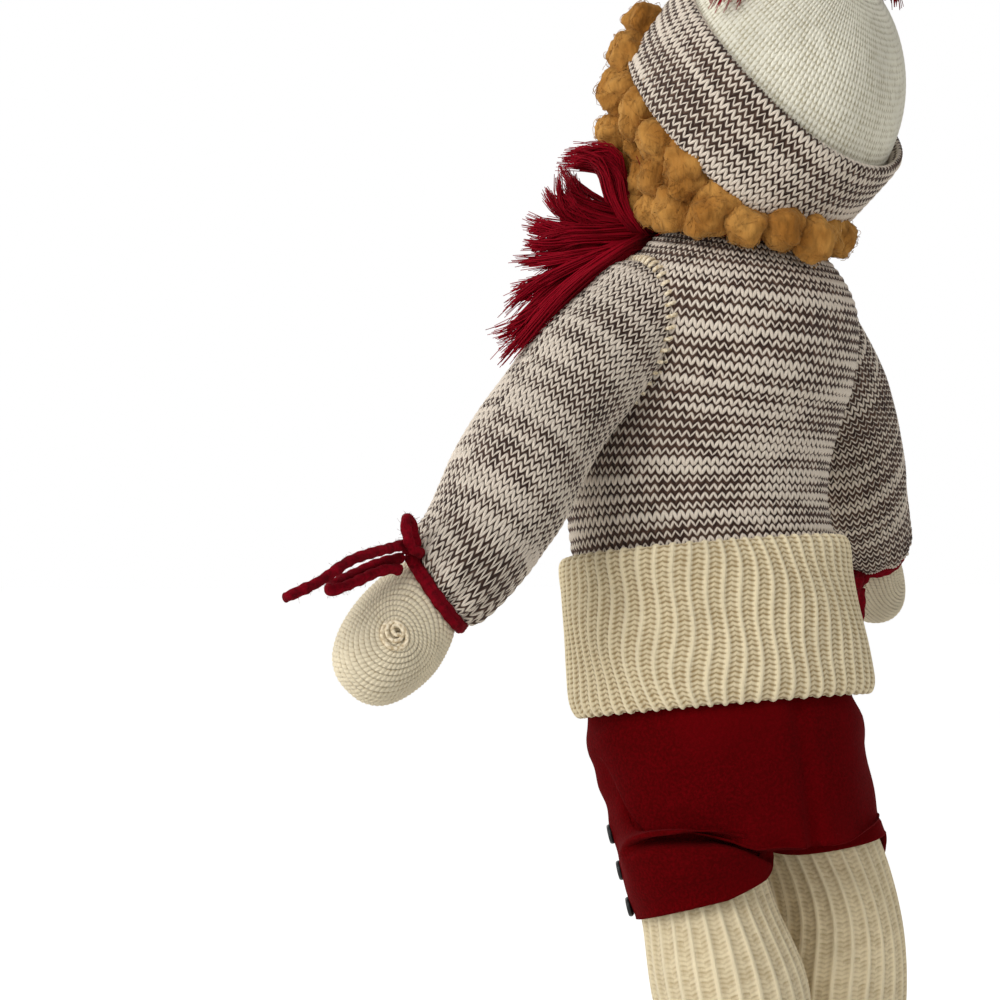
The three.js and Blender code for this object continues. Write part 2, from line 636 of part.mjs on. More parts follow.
// Hat, about its own tilted axis
const hat = frameAt('hat', [0, 0, HEAD_RISE], [-HAT_BACK, -HAT_SIDE, 0]);
head.add(hat);
hat.updateMatrix();
const toHat = hat.matrix.clone().invert();
const headRoomInHat = solid(moved(headForm(HEAD_R + GAP), toHat));
const dome = (radius, top, rim) => [
	point(0, rim), point(radius, rim),
	...arc(1, 0, Math.PI / 2, DOME_STEPS).map((p) => point(radius * p.x, top * p.y)),
];
const crownOuter = solid(revolve(dome(CROWN_R, CROWN_TOP, CROWN_RIM), BODY_SIDES));
const crownInner = solid(revolve(dome(CROWN_R - CROWN_WALL, CROWN_TOP - CROWN_WALL, CROWN_RIM - CROWN_WALL), BODY_SIDES));
hat.add(piece('hat_crown', geometryOf(crownOuter.subtract(crownInner).subtract(headRoomInHat)), 'cream'));

const brimInner = CROWN_R + GAP;
const brimOuter = brimInner + BRIM_WALL;
const brimSection = [
	[brimInner, BRIM_BOTTOM + HEM_RISE], [brimInner + HEM_ROUND, BRIM_BOTTOM], [brimOuter - HEM_ROUND, BRIM_BOTTOM],
	[brimOuter, BRIM_BOTTOM + HEM_RISE], [brimOuter, 0], [brimOuter + BRIM_FLARE, BRIM_TOP - HEM_RISE],
	[brimOuter + BRIM_FLARE - HEM_ROUND, BRIM_TOP], [brimInner + BRIM_FLARE, BRIM_TOP], [brimInner, 0],
	[brimInner, BRIM_BOTTOM + HEM_RISE],
].map(([r, h]) => point(r, h));
hat.add(piece('hat_brim', revolve(brimSection, BODY_SIDES), 'marl'));

const hatKnot = ball(TASSEL_KNOT_R, YARN_SIDES, KNOT_ROWS);
const crownRoom = solid(revolve(dome(CROWN_R + GAP, CROWN_TOP + GAP, CROWN_RIM), BODY_SIDES));
const hatTassel = fuse([hatKnot, ...HAT_LOBES.map(lobe)].map((form) => solid(
	form.clone().translate(0, 0, CROWN_TOP + TASSEL_KNOT_R / 2),
)));
hat.add(piece('hat_tassel', geometryOf(hatTassel.subtract(crownRoom)), 'yarn'));

// Hair: fused bobbles, cut to the head, to the underside of the brim and to the collar
const hairReach = HEAD_R + HAIR_OUT;
const ringHeight = BRIM_BOTTOM - HAIR_DROP;

function hairRow(height) {
	const reach = Math.sqrt(hairReach ** 2 - height ** 2);
	const count = Math.round(360 / HAIR_STEP);
	const turns = Array.from({ length: count }, (_, i) => (2 * Math.PI * (i + 0.5)) / count);
	return turns.map((turn) => new THREE.Vector3(reach * Math.sin(turn), reach * Math.cos(turn), height));
}

function hairLock(turn) {
	const reach = HEAD_R + LOCK_OUT;
	return Array.from({ length: LOCK_COUNT }, (_, i) => {
		const rise = radians(LOCK_TOP - i * LOCK_STEP);
		const place = new THREE.Vector3(
			reach * Math.sin(radians(turn)) * Math.cos(rise),
			reach * Math.cos(radians(turn)) * Math.cos(rise),
			reach * Math.sin(rise) + HEAD_RISE,
		);
		return place.applyMatrix4(toHat);
	});
}

const brimReach = (brimOuter + BRIM_FLARE + GAP) / flatShare(BODY_SIDES);
const brimRoom = solid(revolve([
	point(0, BRIM_BOTTOM - GAP), point(brimReach, BRIM_BOTTOM - GAP), point(brimReach, FAR), point(0, FAR),
], BODY_SIDES));
const bobblePlaces = [
	...hairRow(ringHeight),
	...LOCK_TURNS.flatMap((turn) => [...hairLock(turn), ...hairLock(-turn)]),
];
const collarRoom = new THREE.BoxGeometry(FAR, FAR, FAR).translate(0, 0, tieHeight + TIE_R + TURNING_PLAY - FAR / 2);
const hatInTorso = head.matrix.clone().multiply(hat.matrix);
const collarInHat = solid(moved(collarRoom, hatInTorso.clone().invert()));
const bobble = (radius) => ball(radius, BOBBLE_SIDES, BOBBLE_ROWS);
const bobbles = (radius) => bobblePlaces.map((place) => solid(bobble(radius).translate(...place)));
const hair = fuse(bobbles(HAIR_R)).subtract(fuse([headRoomInHat, brimRoom, collarInHat]));
hat.add(piece('hair', geometryOf(hair), 'roving', 1));

// The floss tassel at the left of the neck, drawn clear of the torso, the tie, the hair and the left arm
const knotTurn = radians(-TASSEL_TURN);
const knotReach = tieRadius + TIE_R + TASSEL_SEAT;
const knotPlace = new THREE.Vector3(
	knotReach * Math.cos(knotTurn), knotReach * TORSO_DEPTH * Math.sin(knotTurn), tieHeight - TASSEL_DROP,
);
const tasselForms = [ball(TASSEL_KNOT_R, YARN_SIDES, KNOT_ROWS), ...NECK_LOBES.map(lobe)];
const leftArm = arms[0];
leftArm.arm.updateMatrix();
const armInTorso = leftArm.shoulder.matrix.clone().multiply(leftArm.arm.matrix);
const armRoom = filled(inset(sleeveOutline, -GAP));
const tasselKeepOut = fuse([
	solid(revolve(filled(inset(torsoOutline, -GAP)), BODY_SIDES, TORSO_DEPTH)),
	solid(tieRing(TIE_R + GAP)),
	solid(moved(ball(ARM_HEAD_R + GAP), leftArm.shoulder.matrix)),
	solid(moved(revolve([point(0, armRoom[0].y), ...armRoom], LIMB_SIDES), armInTorso)),
	fuse(bobbles(HAIR_R + GAP)).transform(hatInTorso.elements),
]);
const tassel = fuse(tasselForms.map((form) => solid(form.clone().translate(...knotPlace))));
torso.add(piece('neck_tassel', geometryOf(tassel.subtract(tasselKeepOut)), 'yarn'));

// Legs, feet, the legs of the shorts and their buttons
function buildLeg({ side, name, leg }) {
	const down = new THREE.Vector3(0, 0, -1).transformDirection(leg.matrixWorld);
	const length = (HIP_HEIGHT - ANKLE_HEIGHT) / -down.z;
	const outer = legOutline(length);
	leg.add(piece(`${name}_stocking`, revolve(tube(outer, inset(outer, KNIT)), LIMB_SIDES), 'cream'));
	const coreRadius = THIGH_R - KNIT - GAP;
	const core = [
		point(0, -length),
		...inset(outer, KNIT + GAP).filter((p) => p.y < 0),
		...arc(coreRadius, 0, Math.PI / 2, CAP_STEPS),
	];
	leg.add(piece(`${name}_leg_filling`, revolve(core, LIMB_SIDES), 'stuffing', 1));

	const shortsProfile = (radius) => [
		point(radius, -SHORTS_LEG), point(radius, -SHORTS_LEG / 2),
		...arc(radius, 0, Math.asin(LEG_RIM / THIGH_R), RIM_STEPS),
	];
	const shorts = revolve(tube(shortsProfile(shortsOuter), shortsProfile(shortsInner)), LIMB_SIDES);
	leg.add(piece(`${name}_shorts_leg`, shorts, 'velvet', 0.8));
	BUTTON_NAMES.forEach((place, i) => {
		const button = revolve([
			point(0, 0), point(BUTTON_R - BUTTON_BEVEL, 0), point(BUTTON_R, BUTTON_THICK / 2),
			point(BUTTON_R - BUTTON_BEVEL, BUTTON_THICK), point(BUTTON_R - BUTTON_RIM, BUTTON_THICK),
			point(BUTTON_R - BUTTON_RIM - BUTTON_BEVEL, BUTTON_THICK - BUTTON_DISH), point(0, BUTTON_THICK - BUTTON_DISH),
		], SMALL_SIDES).rotateY(Math.PI / 2);
		button.translate(shortsOuter + GAP, 0, -BUTTON_FIRST - i * BUTTON_PITCH);
		if (side < 0) button.rotateZ(Math.PI);
		button.rotateZ(-side * radians(BUTTON_TURN));
		leg.add(piece(`${name}_button_${place}`, button, 'button', 0.35));
	});

	const ankle = new THREE.Vector3(0, 0, -length).applyMatrix4(leg.matrixWorld);
	const foot = footForm().translate(ankle.x, ankle.y - FOOT_AHEAD, FOOT_HALF_HEIGHT - SOLE_CUT);
	const legRoom = solid(moved(revolve([
		point(0, -length - GAP), point(ANKLE_R + GAP, -length - GAP),
		...inset(outer, -GAP).filter((p) => p.y > -length + 1 && p.y < 0), point(0, 0),
	], LIMB_SIDES), leg.matrixWorld));
	const floor = solid(new THREE.BoxGeometry(FAR, FAR, FAR).translate(ankle.x, ankle.y, -FAR / 2));
	doll.add(piece(`${name}_foot`, geometryOf(solid(foot).subtract(legRoom).subtract(floor)), 'cream'));
}

// A stuffed foot: an egg whose underside is nearly flat
function footForm() {
	const form = ball(1, LIMB_SIDES, FOOT_ROWS).rotateX(Math.PI / 2);
	const corners = form.attributes.position;
	for (let i = 0; i < corners.count; i++) {
		const out = Math.min(Math.hypot(corners.getX(i), corners.getY(i)), 1);
		if (corners.getZ(i) < 0) corners.setZ(i, -((1 - out ** SOLE_SQUARENESS) ** (1 / SOLE_SQUARENESS)));
	}
	return form.scale(FOOT_HALF_WIDTH, FOOT_HALF_LENGTH, FOOT_HALF_HEIGHT);
}

legs.forEach(buildLeg);

// The origin is on the floor under the middle of the doll, without the free yarn ends
doll.updateMatrixWorld(true);
const box = new THREE.Box3();
doll.traverse((node) => {
	if (node.isMesh && !/wrist_(tail|lower_loop|upper_loop)/.test(node.name)) box.expandByObject(node, true);
});
const middle = box.getCenter(new THREE.Vector3());
doll.position.set(-middle.x, -middle.y, 0);

export default doll;
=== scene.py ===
import math
from functools import partialmethod

import bpy
import numpy as np
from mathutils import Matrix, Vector


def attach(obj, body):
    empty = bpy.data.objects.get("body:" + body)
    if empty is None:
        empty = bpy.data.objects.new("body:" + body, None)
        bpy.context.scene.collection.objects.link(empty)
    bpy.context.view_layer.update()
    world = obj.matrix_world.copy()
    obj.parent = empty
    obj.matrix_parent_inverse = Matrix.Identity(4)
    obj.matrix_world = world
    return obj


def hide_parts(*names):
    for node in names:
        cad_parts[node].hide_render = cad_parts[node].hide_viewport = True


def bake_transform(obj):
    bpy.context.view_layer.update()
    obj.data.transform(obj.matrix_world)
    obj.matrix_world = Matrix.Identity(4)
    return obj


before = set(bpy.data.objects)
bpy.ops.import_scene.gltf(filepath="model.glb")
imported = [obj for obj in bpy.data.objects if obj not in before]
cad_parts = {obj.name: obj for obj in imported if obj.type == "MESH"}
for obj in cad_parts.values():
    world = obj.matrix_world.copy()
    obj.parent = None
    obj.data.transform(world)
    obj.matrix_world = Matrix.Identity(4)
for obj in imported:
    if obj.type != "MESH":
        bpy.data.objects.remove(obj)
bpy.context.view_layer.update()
MM = 0.001

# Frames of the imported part: origin in mm, then the X and Z axes
FRAMES = {name: np.array(rows) for name, rows in {
    "torso": ((13.71, -3.07, 210.62), (0.9969, 0.0109, 0.0777), (-0.0785, 0.1387, 0.9872)),
    "left_arm": ((48.76, 27.02, 393.53), (0.7192, 0.2619, 0.6436), (-0.6507, -0.0711, 0.7560)),
    "right_arm": ((-49.90, 1.50, 389.28), (0.7360, -0.1671, -0.6560), (0.6451, 0.4668, 0.6049)),
    "head": ((-4.65, 29.39, 441.63), (0.9936, 0.0170, 0.1119), (-0.1132, 0.1727, 0.9784)),
    "hat": ((-9.17, 36.30, 480.76), (0.9582, 0.1538, 0.2414), (-0.2779, 0.7022, 0.6556)),
    "left_leg": ((28.80, 27.90, 205.0), (0.9890, 0.0282, -0.1451), (0.1478, -0.1887, 0.9708)),
    "right_leg": ((-33.20, 27.90, 205.0), (0.9890, 0.0052, -0.1477), (0.1478, -0.0345, 0.9884)),
}.items()}
# The photograph's left, up and towards its viewer
ASIDE, UP, NEARER = np.array([0.8562, -0.5165, 0]), np.array([0, 0, 1.0]), np.array([0.5165, 0.8562, 0])
SIDES = {"left": 1, "right": -1}


def unit(v):
    return v / np.maximum(np.linalg.norm(v, axis=-1, keepdims=True), 1e-9)


def placed(points, name):
    """Points in a frame, in mm, as points in the row frame."""
    origin, x, z = FRAMES[name]
    x, z = unit(x), unit(z)
    y = np.cross(z, x)
    return origin + points[..., :1] * x + points[..., 1:2] * y + points[..., 2:3] * z


def around(radius, turn, height):
    """Points round the Z axis."""
    return np.stack(np.broadcast_arrays(radius * np.cos(turn), radius * np.sin(turn), height), -1)


def turned(points, angle):
    """Points turned round the Z axis."""
    c, s = math.cos(angle), math.sin(angle)
    x, y, z = np.moveaxis(points, -1, 0)
    return np.stack([x * c - y * s, x * s + y * c, z], -1)


def smooth(x, low, high):
    t = np.clip((x - low) / (high - low), 0, 1)
    return t * t * (3 - 2 * t)


def bell(x, middle, wide):
    return np.exp(-(((x - middle) / wide) ** 2))


LUMP_WAVES, LUMP_SIZE = 7, 3.2


def lumps(points, length, seed):
    """Smooth unevenness, about -1 to 1, with features of the given length in mm."""
    draw = np.random.default_rng(seed)
    total = 0
    for _ in range(LUMP_WAVES):
        wave = unit(draw.normal(size=3)) * draw.uniform(0.6, 1.4) * math.tau / length
        total = total + np.sin(points @ wave + draw.uniform(0, math.tau))
    return total / LUMP_SIZE


def spline(stations, steps=40):
    """Catmull-Rom through stations, evenly stepped in each span."""
    p = np.array(stations, float)
    p = np.vstack([p[:1], p, p[-1:]])
    t = np.linspace(0, 1, steps, endpoint=False)[:, None]
    spans = []
    for a, b, c, d in zip(p[:-3], p[1:-2], p[2:-1], p[3:]):
        bend, twist = 2 * a - 5 * b + 4 * c - d, 3 * b - a - 3 * c + d
        spans.append(0.5 * (2 * b + (c - a) * t + bend * t**2 + twist * t**3))
    return np.vstack([*spans, p[-1:]])


def bow(down, stations):
    """How far a limb bows aside, by how far down it."""
    line = spline(stations, 8)
    return np.interp(down, line[:, 0], line[:, 1])[..., None]


def run_along(line):
    """How far along a line each of its points lies."""
    return np.concatenate([[0], np.cumsum(np.linalg.norm(np.diff(line, axis=0), axis=1))])


def between(at, known, points):
    """Points at places between the known ones."""
    return np.stack([np.interp(at, known, points[:, k]) for k in range(3)], -1)


class Outline:
    """An outline of (radius, height), measured along its own length in mm."""

    def __init__(self, points):
        self.points = np.array(points, float)
        self.run = run_along(self.points)
        self.length = self.run[-1]

    def at(self, run):
        return np.interp(run, self.run, self.points[:, 0]), np.interp(run, self.run, self.points[:, 1])

    def run_at(self, height):
        return np.interp(height, self.points[:, 1], self.run)

    def radius_at(self, height):
        return self.at(self.run_at(height))[0]


# Meshes
CORNERS = ((0, 0), (0, 1), (1, 1), (1, 0))


def make_mesh(points, faces, corner_uv=None):
    """A smooth-shaded mesh from points in mm and lists of faces of equal corner count."""
    mesh = bpy.data.meshes.new("mesh")
    loops = np.concatenate([f.ravel() for f in faces])
    sizes = np.concatenate([np.full(len(f), f.shape[1]) for f in faces])
    starts = np.concatenate([[0], np.cumsum(sizes)[:-1]])
    mesh.vertices.add(len(points))
    mesh.vertices.foreach_set("co", (points * MM).astype(np.float32).ravel())
    mesh.loops.add(len(loops))
    mesh.loops.foreach_set("vertex_index", loops.astype(np.int32))
    mesh.polygons.add(len(sizes))
    mesh.polygons.foreach_set("loop_start", starts.astype(np.int32))
    if corner_uv is not None:
        layer = mesh.uv_layers.new(name="stitch")
        layer.data.foreach_set("uv", corner_uv.astype(np.float32).ravel())
    mesh.update(calc_edges=True)
    mesh.validate()
    mesh.shade_smooth()
    return mesh


def grid_cells(rows, cols, ends):
    return np.indices((rows - (ends != "joined"), cols - (ends == "open"))).reshape(2, -1)


def grid_faces(rows, cols, ends="capped"):
    """The quads of a grid of points, then the triangles of its caps, whose middles come after the points."""
    r, c = grid_cells(rows, cols, ends)
    faces = [np.stack([(r + i) % rows * cols + (c + j) % cols for i, j in CORNERS], -1)]
    if ends == "capped":
        first = np.arange(cols)
        ahead, last, middle = (first + 1) % cols, (rows - 1) * cols, 0 * first + rows * cols
        faces.append(np.stack([ahead, first, middle], -1))
        faces.append(np.stack([last + first, last + ahead, middle + 1], -1))
    return faces


def grid_mesh(points, uv, ends="capped"):
    """Rows of points. Each row is closed and its uv one column longer, unless ends is open.

    The first and last rows are capped, or joined to each other, with one more row of uv.
    """
    rows, cols = points.shape[:2]
    verts = points.reshape(-1, 3)
    r, c = grid_cells(rows, cols, ends)
    corner_uv = [np.stack([uv[r + i, c + j] for i, j in CORNERS], 1)]
    if ends == "capped":
        verts = np.vstack([verts, points[0].mean(0), points[-1].mean(0)])
        for row, order in ((0, (1, 0)), (rows - 1, (0, 1))):
            rim = [uv[row, k:cols + k] for k in order]
            corner_uv.append(np.stack([*rim, sum(rim) / 2], 1))
    corner_uv = np.concatenate([part.reshape(-1, 2) for part in corner_uv])
    return make_mesh(verts, grid_faces(rows, cols, ends), corner_uv)


def raised(form, a, b, height, step=0.01):
    """Points of form(a, b), moved out along its normal by height."""
    along_a = form(a + step, b) - form(a - step, b)
    along_b = form(a, b + step * 10) - form(a, b - step * 10)
    return form(a, b) + unit(np.cross(along_a, along_b)) * height[..., None]


def sideways(paths):
    """Two directions across each of many paths, at every point."""
    along = unit(np.gradient(paths, axis=1))
    helper = np.eye(3)[np.argmin(np.abs(unit(along.mean(1))), axis=1)][:, None, :]
    first = unit(np.cross(along, helper))
    return first, np.cross(along, first)


def tubes(paths, radii, sides=3):
    """Many fine tubes as one mesh: paths is tubes x points x 3, radii one number or one for each point."""
    count, length = paths.shape[:2]
    n1, n2 = sideways(paths)
    turn = math.tau * np.arange(sides) / sides
    ring = n1[:, :, None] * np.cos(turn)[:, None] + n2[:, :, None] * np.sin(turn)[:, None]
    points = paths[:, :, None] + np.broadcast_to(radii, (count, length))[:, :, None, None] * ring
    t, k, s = np.indices((count, length - 1, sides)).reshape(3, -1)
    corners = [(k, s), (k + 1, s), (k + 1, s + 1), (k, s + 1)]
    quads = np.stack([(t * length + i) * sides + j % sides for i, j in corners], -1)
    first = (np.arange(count) * length * sides)[:, None] + np.arange(sides)
    last = first[:, ::-1] + (length - 1) * sides
    own = np.linspace(0, 1, count)
    quad_uv = np.stack([np.stack([own[t], i / (length - 1)], -1) for i, _ in corners], 1).reshape(-1, 2)
    cap_uv = [np.stack([np.repeat(own, sides), np.full(count * sides, end)], -1) for end in (0.0, 1.0)]
    return make_mesh(points.reshape(-1, 3), [quads, first, last], np.concatenate([quad_uv, *cap_uv]))


def add(name, mesh, material, body, nodes=()):
    """A piece of the doll that rides on a body and stands for CAD nodes."""
    mesh.name = name
    piece = bpy.data.objects.new(name, mesh)
    bpy.context.scene.collection.objects.link(piece)
    mesh.materials.append(material)
    if body:
        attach(piece, body)
    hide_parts(*nodes)
    return piece


# Materials
STITCH_SLANT = 0.6  # of the hands' stitches, in stitches to a ring


class Value:
    """A number in a material's node tree, with arithmetic."""

    def __init__(self, shader, socket):
        self.shader, self.socket = shader, socket

    def calc(self, kind, *others):
        return self.shader.calc(kind, self, *others)

    __add__ = partialmethod(calc, "ADD")
    __sub__ = partialmethod(calc, "SUBTRACT")
    __mul__ = partialmethod(calc, "MULTIPLY")
    __truediv__ = partialmethod(calc, "DIVIDE")
    __pow__ = partialmethod(calc, "POWER")
    fract = partialmethod(calc, "FRACT")
    floor = partialmethod(calc, "FLOOR")
    sin = partialmethod(calc, "SINE")
    abs = partialmethod(calc, "ABSOLUTE")

    def arch(self):
        """0 at whole numbers, 1 half way between them."""
        return (self * math.pi).sin().abs()

    def ramp(self, low, high, start=0.0, end=1.0):
        node = self.shader.node("MapRange", interpolation_type="SMOOTHSTEP")
        ends = {"Value": self, "From Min": low, "From Max": high, "To Min": start, "To Max": end}
        for socket, value in ends.items():
            self.shader.feed(node.inputs[socket], value)
        return Value(self.shader, node.outputs[0])


class Shader:
    """A Principled material and the nodes that feed it."""

    MATTE = {"roughness": 0.95, "specular_ior_level": 0.2, "sheen_roughness": 0.5}

    def __init__(self, name, **sockets):
        self.material = bpy.data.materials.new(name)
        self.material.use_nodes = True
        self.tree = self.material.node_tree
        self.surface = self.tree.nodes["Principled BSDF"]
        for key, value in {**self.MATTE, **sockets}.items():
            self.surface.inputs[key.replace("_", " ").title().replace("Ior", "IOR")].default_value = value

    def node(self, kind, **settings):
        node = self.tree.nodes.new(f"ShaderNode{kind}")
        for key, value in settings.items():
            setattr(node, key, value)
        return node

    def feed(self, socket, value):
        if isinstance(value, Value):
            self.tree.links.new(value.socket, socket)
        else:
            socket.default_value = value

    def fed(self, node, values):
        """The first output of a node with these values at its inputs."""
        for socket, value in zip(node.inputs, values):
            self.feed(socket, value)
        return Value(self, node.outputs[0])

    def calc(self, kind, *values):
        return self.fed(self.node("Math", operation=kind), values)

    def vector(self, *values):
        return self.fed(self.node("CombineXYZ"), values)

    def chance(self, *cell):
        return self.fed(self.node("TexWhiteNoise"), [self.vector(*cell)])

    def uv(self):
        split = self.node("SeparateXYZ")
        self.tree.links.new(self.node("UVMap", uv_map="stitch").outputs[0], split.inputs[0])
        return Value(self, split.outputs[0]), Value(self, split.outputs[1])

    def noise(self, scale, detail=2.0, at=None, stretch=None):
        """Noise at a vector, or else at the place on the object in metres."""
        if at is None:
            at = Value(self, self.node("TexCoord").outputs["Object"])
        if stretch:
            mapping = self.node("Mapping")
            mapping.inputs["Scale"].default_value = stretch
            at = self.fed(mapping, [at])
        node = self.node("TexNoise")
        for socket, value in {"Vector": at, "Scale": scale, "Detail": detail}.items():
            self.feed(node.inputs[socket], value)
        return Value(self, node.outputs[0])

    def fibre(self, u, w, seed):
        return self.noise(1.0, 3.0, self.vector(u, w, seed))

    def mix(self, share, a, b, kind="MIX"):
        node = self.node("Mix", data_type="RGBA", blend_type=kind)
        for number, value in {0: share, 6: a, 7: b}.items():
            self.feed(node.inputs[number], value)
        return Value(self, node.outputs[2])

    def clouded(self, tone, dim, scale, low):
        """A colour with dimmer patches."""
        return self.mix(self.noise(scale).ramp(low, 1 - low), rgb(*[c * dim for c in tone]), rgb(*tone))

    def shade(self, share, colour, depth):
        """Paints shade into a colour: darkens it by depth where share is 0, as in a crevice."""
        level = share * depth + (1 - depth)
        dark = self.fed(self.node("CombineColor"), [level] * 3)
        return self.mix(1.0, colour, dark, "MULTIPLY")

    def finish(self, colour, height=None, distance=0.0005, strength=1.0):
        self.feed(self.surface.inputs["Base Color"], colour)
        if height is not None:
            bump = self.node("Bump")
            for socket, value in {"Strength": strength, "Distance": distance, "Height": height}.items():
                self.feed(bump.inputs[socket], value)
            self.tree.links.new(bump.outputs[0], self.surface.inputs["Normal"])
        return self.material


def rgb(r, g, b):
    """A colour from 0-255 screen values."""
    return (*(((c / 255 + 0.055) / 1.055) ** 2.4 if c > 10 else c / 255 / 12.92 for c in (r, g, b)), 1.0)


def marl_knit(name, seed, light):
    """Plain knit in a twist of cream and brown: each leg of a stitch is a cream grain with brown round it.
    Shade is painted into the crevices between stitches, and light makes the whole part paler or darker as
    painted light and shade.
    """
    m = Shader(name, sheen_weight=0.15)
    u, w = m.uv()
    leg, course = (u * 2).floor(), w.floor()
    s, t = (u * 2).fract(), w.fract()
    chance = m.chance(leg, course, seed)
    drift = m.noise(1.0, 1.0, m.vector(u * 0.045, course * 0.71 + seed, 0.0))
    fibre = m.fibre(u * 14, w * 26, seed)
    # light makes the part's cream grain fuller or thinner: painted light and shade
    fill = drift.ramp(0.42, 0.66) * 0.3 + (chance - 0.5) * 0.14 + (0.24 + light)
    across, along = (s - 0.5) * 1.75, (t - 0.56) / fill
    away = across * across + along * along
    cream_part = (away + (fibre - 0.5) * 0.9).ramp(0.7, 1.25, 1.0, 0.0)
    cream = m.mix(fibre.ramp(0.35, 0.7), rgb(222, 204, 184), rgb(255, 246, 232))
    brown = m.mix(chance, rgb(58, 38, 30), rgb(104, 78, 64))
    # Painted shade: darker in the crevices between the stitches' legs and rows
    relief_shade = (t.arch() ** 0.6) * (s.arch() * 0.5 + 0.5)
    colour = m.shade(relief_shade.ramp(0.05, 0.6), m.mix(cream_part, brown, cream), 0.5)
    return m.finish(colour, away.ramp(0.0, 1.6, 1.0, 0.0) + fibre * 0.35, 0.0007)


def cream_knit(name, seed, tone=(232, 220, 188), shadow=(176, 156, 116)):
    """Fine plain knit in cream, with shade painted into the crevices between stitches."""
    m = Shader(name, sheen_weight=0.25)
    u, w = m.uv()
    s, t = (u * 2).fract(), w.fract()
    chance = m.chance((u * 2).floor(), w.floor(), seed)
    fibre = m.fibre(u * 10, w * 18, seed)
    light = m.clouded(tone, 0.93, 28.0, 0.35)
    relief_shade = (t.arch() ** 0.7) * (s.arch() * 0.7 + 0.3) + (chance - 0.5) * 0.25 + (fibre - 0.5) * 0.3
    # Painted shade: the colour turns to the shadow colour in the crevices between stitches
    return m.finish(m.mix(relief_shade.ramp(0.1, 0.75), rgb(*shadow), light), relief_shade + fibre * 0.3, 0.0005)


def column_knit(name, seed, tone, shadow):
    """Very fine plain knit in which the columns of stitches show more than the rows, with shade painted
    between them.
    """
    m = Shader(name, sheen_weight=0.2)
    u, w = m.uv()
    chance = m.chance(u.floor(), w.floor(), seed)
    fibre = m.fibre(u * 8, w * 12, seed)
    light = m.clouded(tone, 0.94, 30.0, 0.35)
    level = (u.fract().arch() ** 0.6 * 0.75 + 0.25) * (w.fract().arch() * 0.5 + 0.5)
    level = level + (chance - 0.5) * 0.3 + (fibre - 0.5) * 0.4
    # Painted shade: the colour turns to the shadow colour where the knit is low, between the columns and rows
    return m.finish(m.mix(level.ramp(0.15, 0.8), rgb(*shadow), light), level, 0.0005)


def cream_rib(name, seed, ladder, tone=(250, 234, 196), shadow=(168, 142, 96)):
    """Rib in cream, u in ribs and w in courses: a thin raised chain, then a wide valley of small arches. The
    colour is painted paler on the raised chain and darker in the valley and its holes, as light and shade.
    """
    m = Shader(name, sheen_weight=0.2)
    u, w = m.uv()
    off = (u.fract() - 0.5).abs()
    ridge = off.ramp(0.06, 0.15, 1.0, 0.0)
    fibre = m.fibre(u * 22, w * 14, seed)
    chance = m.chance(u.floor(), w.floor(), seed)
    chain = (w + off * 2.0).fract().arch()
    arches = (w - off * off * 2.0).fract().arch()
    # Painted shade in the holes beside each rib
    hole = off.ramp(0.15, 0.24) * off.ramp(0.3, 0.44, 1.0, 0.45)
    valley = arches * ladder + (0.52 - ladder * 0.5) - hole * ladder * 0.5
    level = ridge * (chain * 0.2 + 0.85) + (ridge * -1.0 + 1.0) * valley
    level = level + (fibre - 0.5) * 0.45 + (chance - 0.5) * 0.16
    light = m.clouded(tone, 0.94, 34.0, 0.3)
    # Painted light and shade: full tone on the raised chain, towards the shadow colour in the valley and
    # holes
    return m.finish(m.mix(level.ramp(0.0, 0.8), rgb(*shadow), light), level, 0.0007)


def ringed_knit(name, seed, tone=(250, 236, 204), shadow=(166, 142, 100)):
    """Cream knit in rings of slanting stitches: u counts stitches round a ring, w counts rings. Shade is
    painted into the crevices between stitches and rings.
    """
    m = Shader(name, sheen_weight=0.25)
    u, w = m.uv()
    t = w.fract()
    stitch = u + t * STITCH_SLANT
    chance = m.chance(stitch.floor(), w.floor(), seed)
    fibre = m.fibre(u * 9, w * 16, seed)
    level = (t.arch() ** 0.5 * 0.8 + 0.2) * (stitch.fract().arch() ** 0.7 * 0.6 + 0.4)
    level = level + (fibre - 0.5) * 0.55 + (chance - 0.5) * 0.25
    light = m.clouded(tone, 0.92, 40.0, 0.3)
    # Painted shade: the colour turns to the shadow colour in the crevices between stitches and rings
    return m.finish(m.mix(level.ramp(0.05, 0.65), rgb(*shadow), light), level, 0.0006)


def velvet_cloth():
    m = Shader("velvet", roughness=1.0, sheen_weight=0.06, sheen_roughness=0.4, sheen_tint=rgb(200, 20, 30),
               specular_ior_level=0.05)
    pile = m.noise(900.0, 3.0)
    nap = m.noise(26.0, 3.0, stretch=(1, 1, 0.6))
    colour = m.mix(nap.ramp(0.35, 0.65), rgb(70, 0, 1), rgb(86, 0, 3))
    return m.finish(m.mix(pile.ramp(0.3, 0.8), colour, rgb(94, 0, 5)), pile, 0.0004, 0.6)


def wool_yarn():
    m = Shader("yarn", sheen_weight=0.08, sheen_roughness=0.4, sheen_tint=rgb(210, 40, 60),
               specular_ior_level=0.1)
    fibre = m.noise(700.0, 4.0)
    colour = m.mix(m.noise(160.0).ramp(0.35, 0.65), rgb(98, 0, 14), rgb(124, 0, 20))
    # Painted shade between the fibres
    return m.finish(m.shade(fibre.ramp(0.3, 0.6), colour, 0.4), fibre, 0.0006)


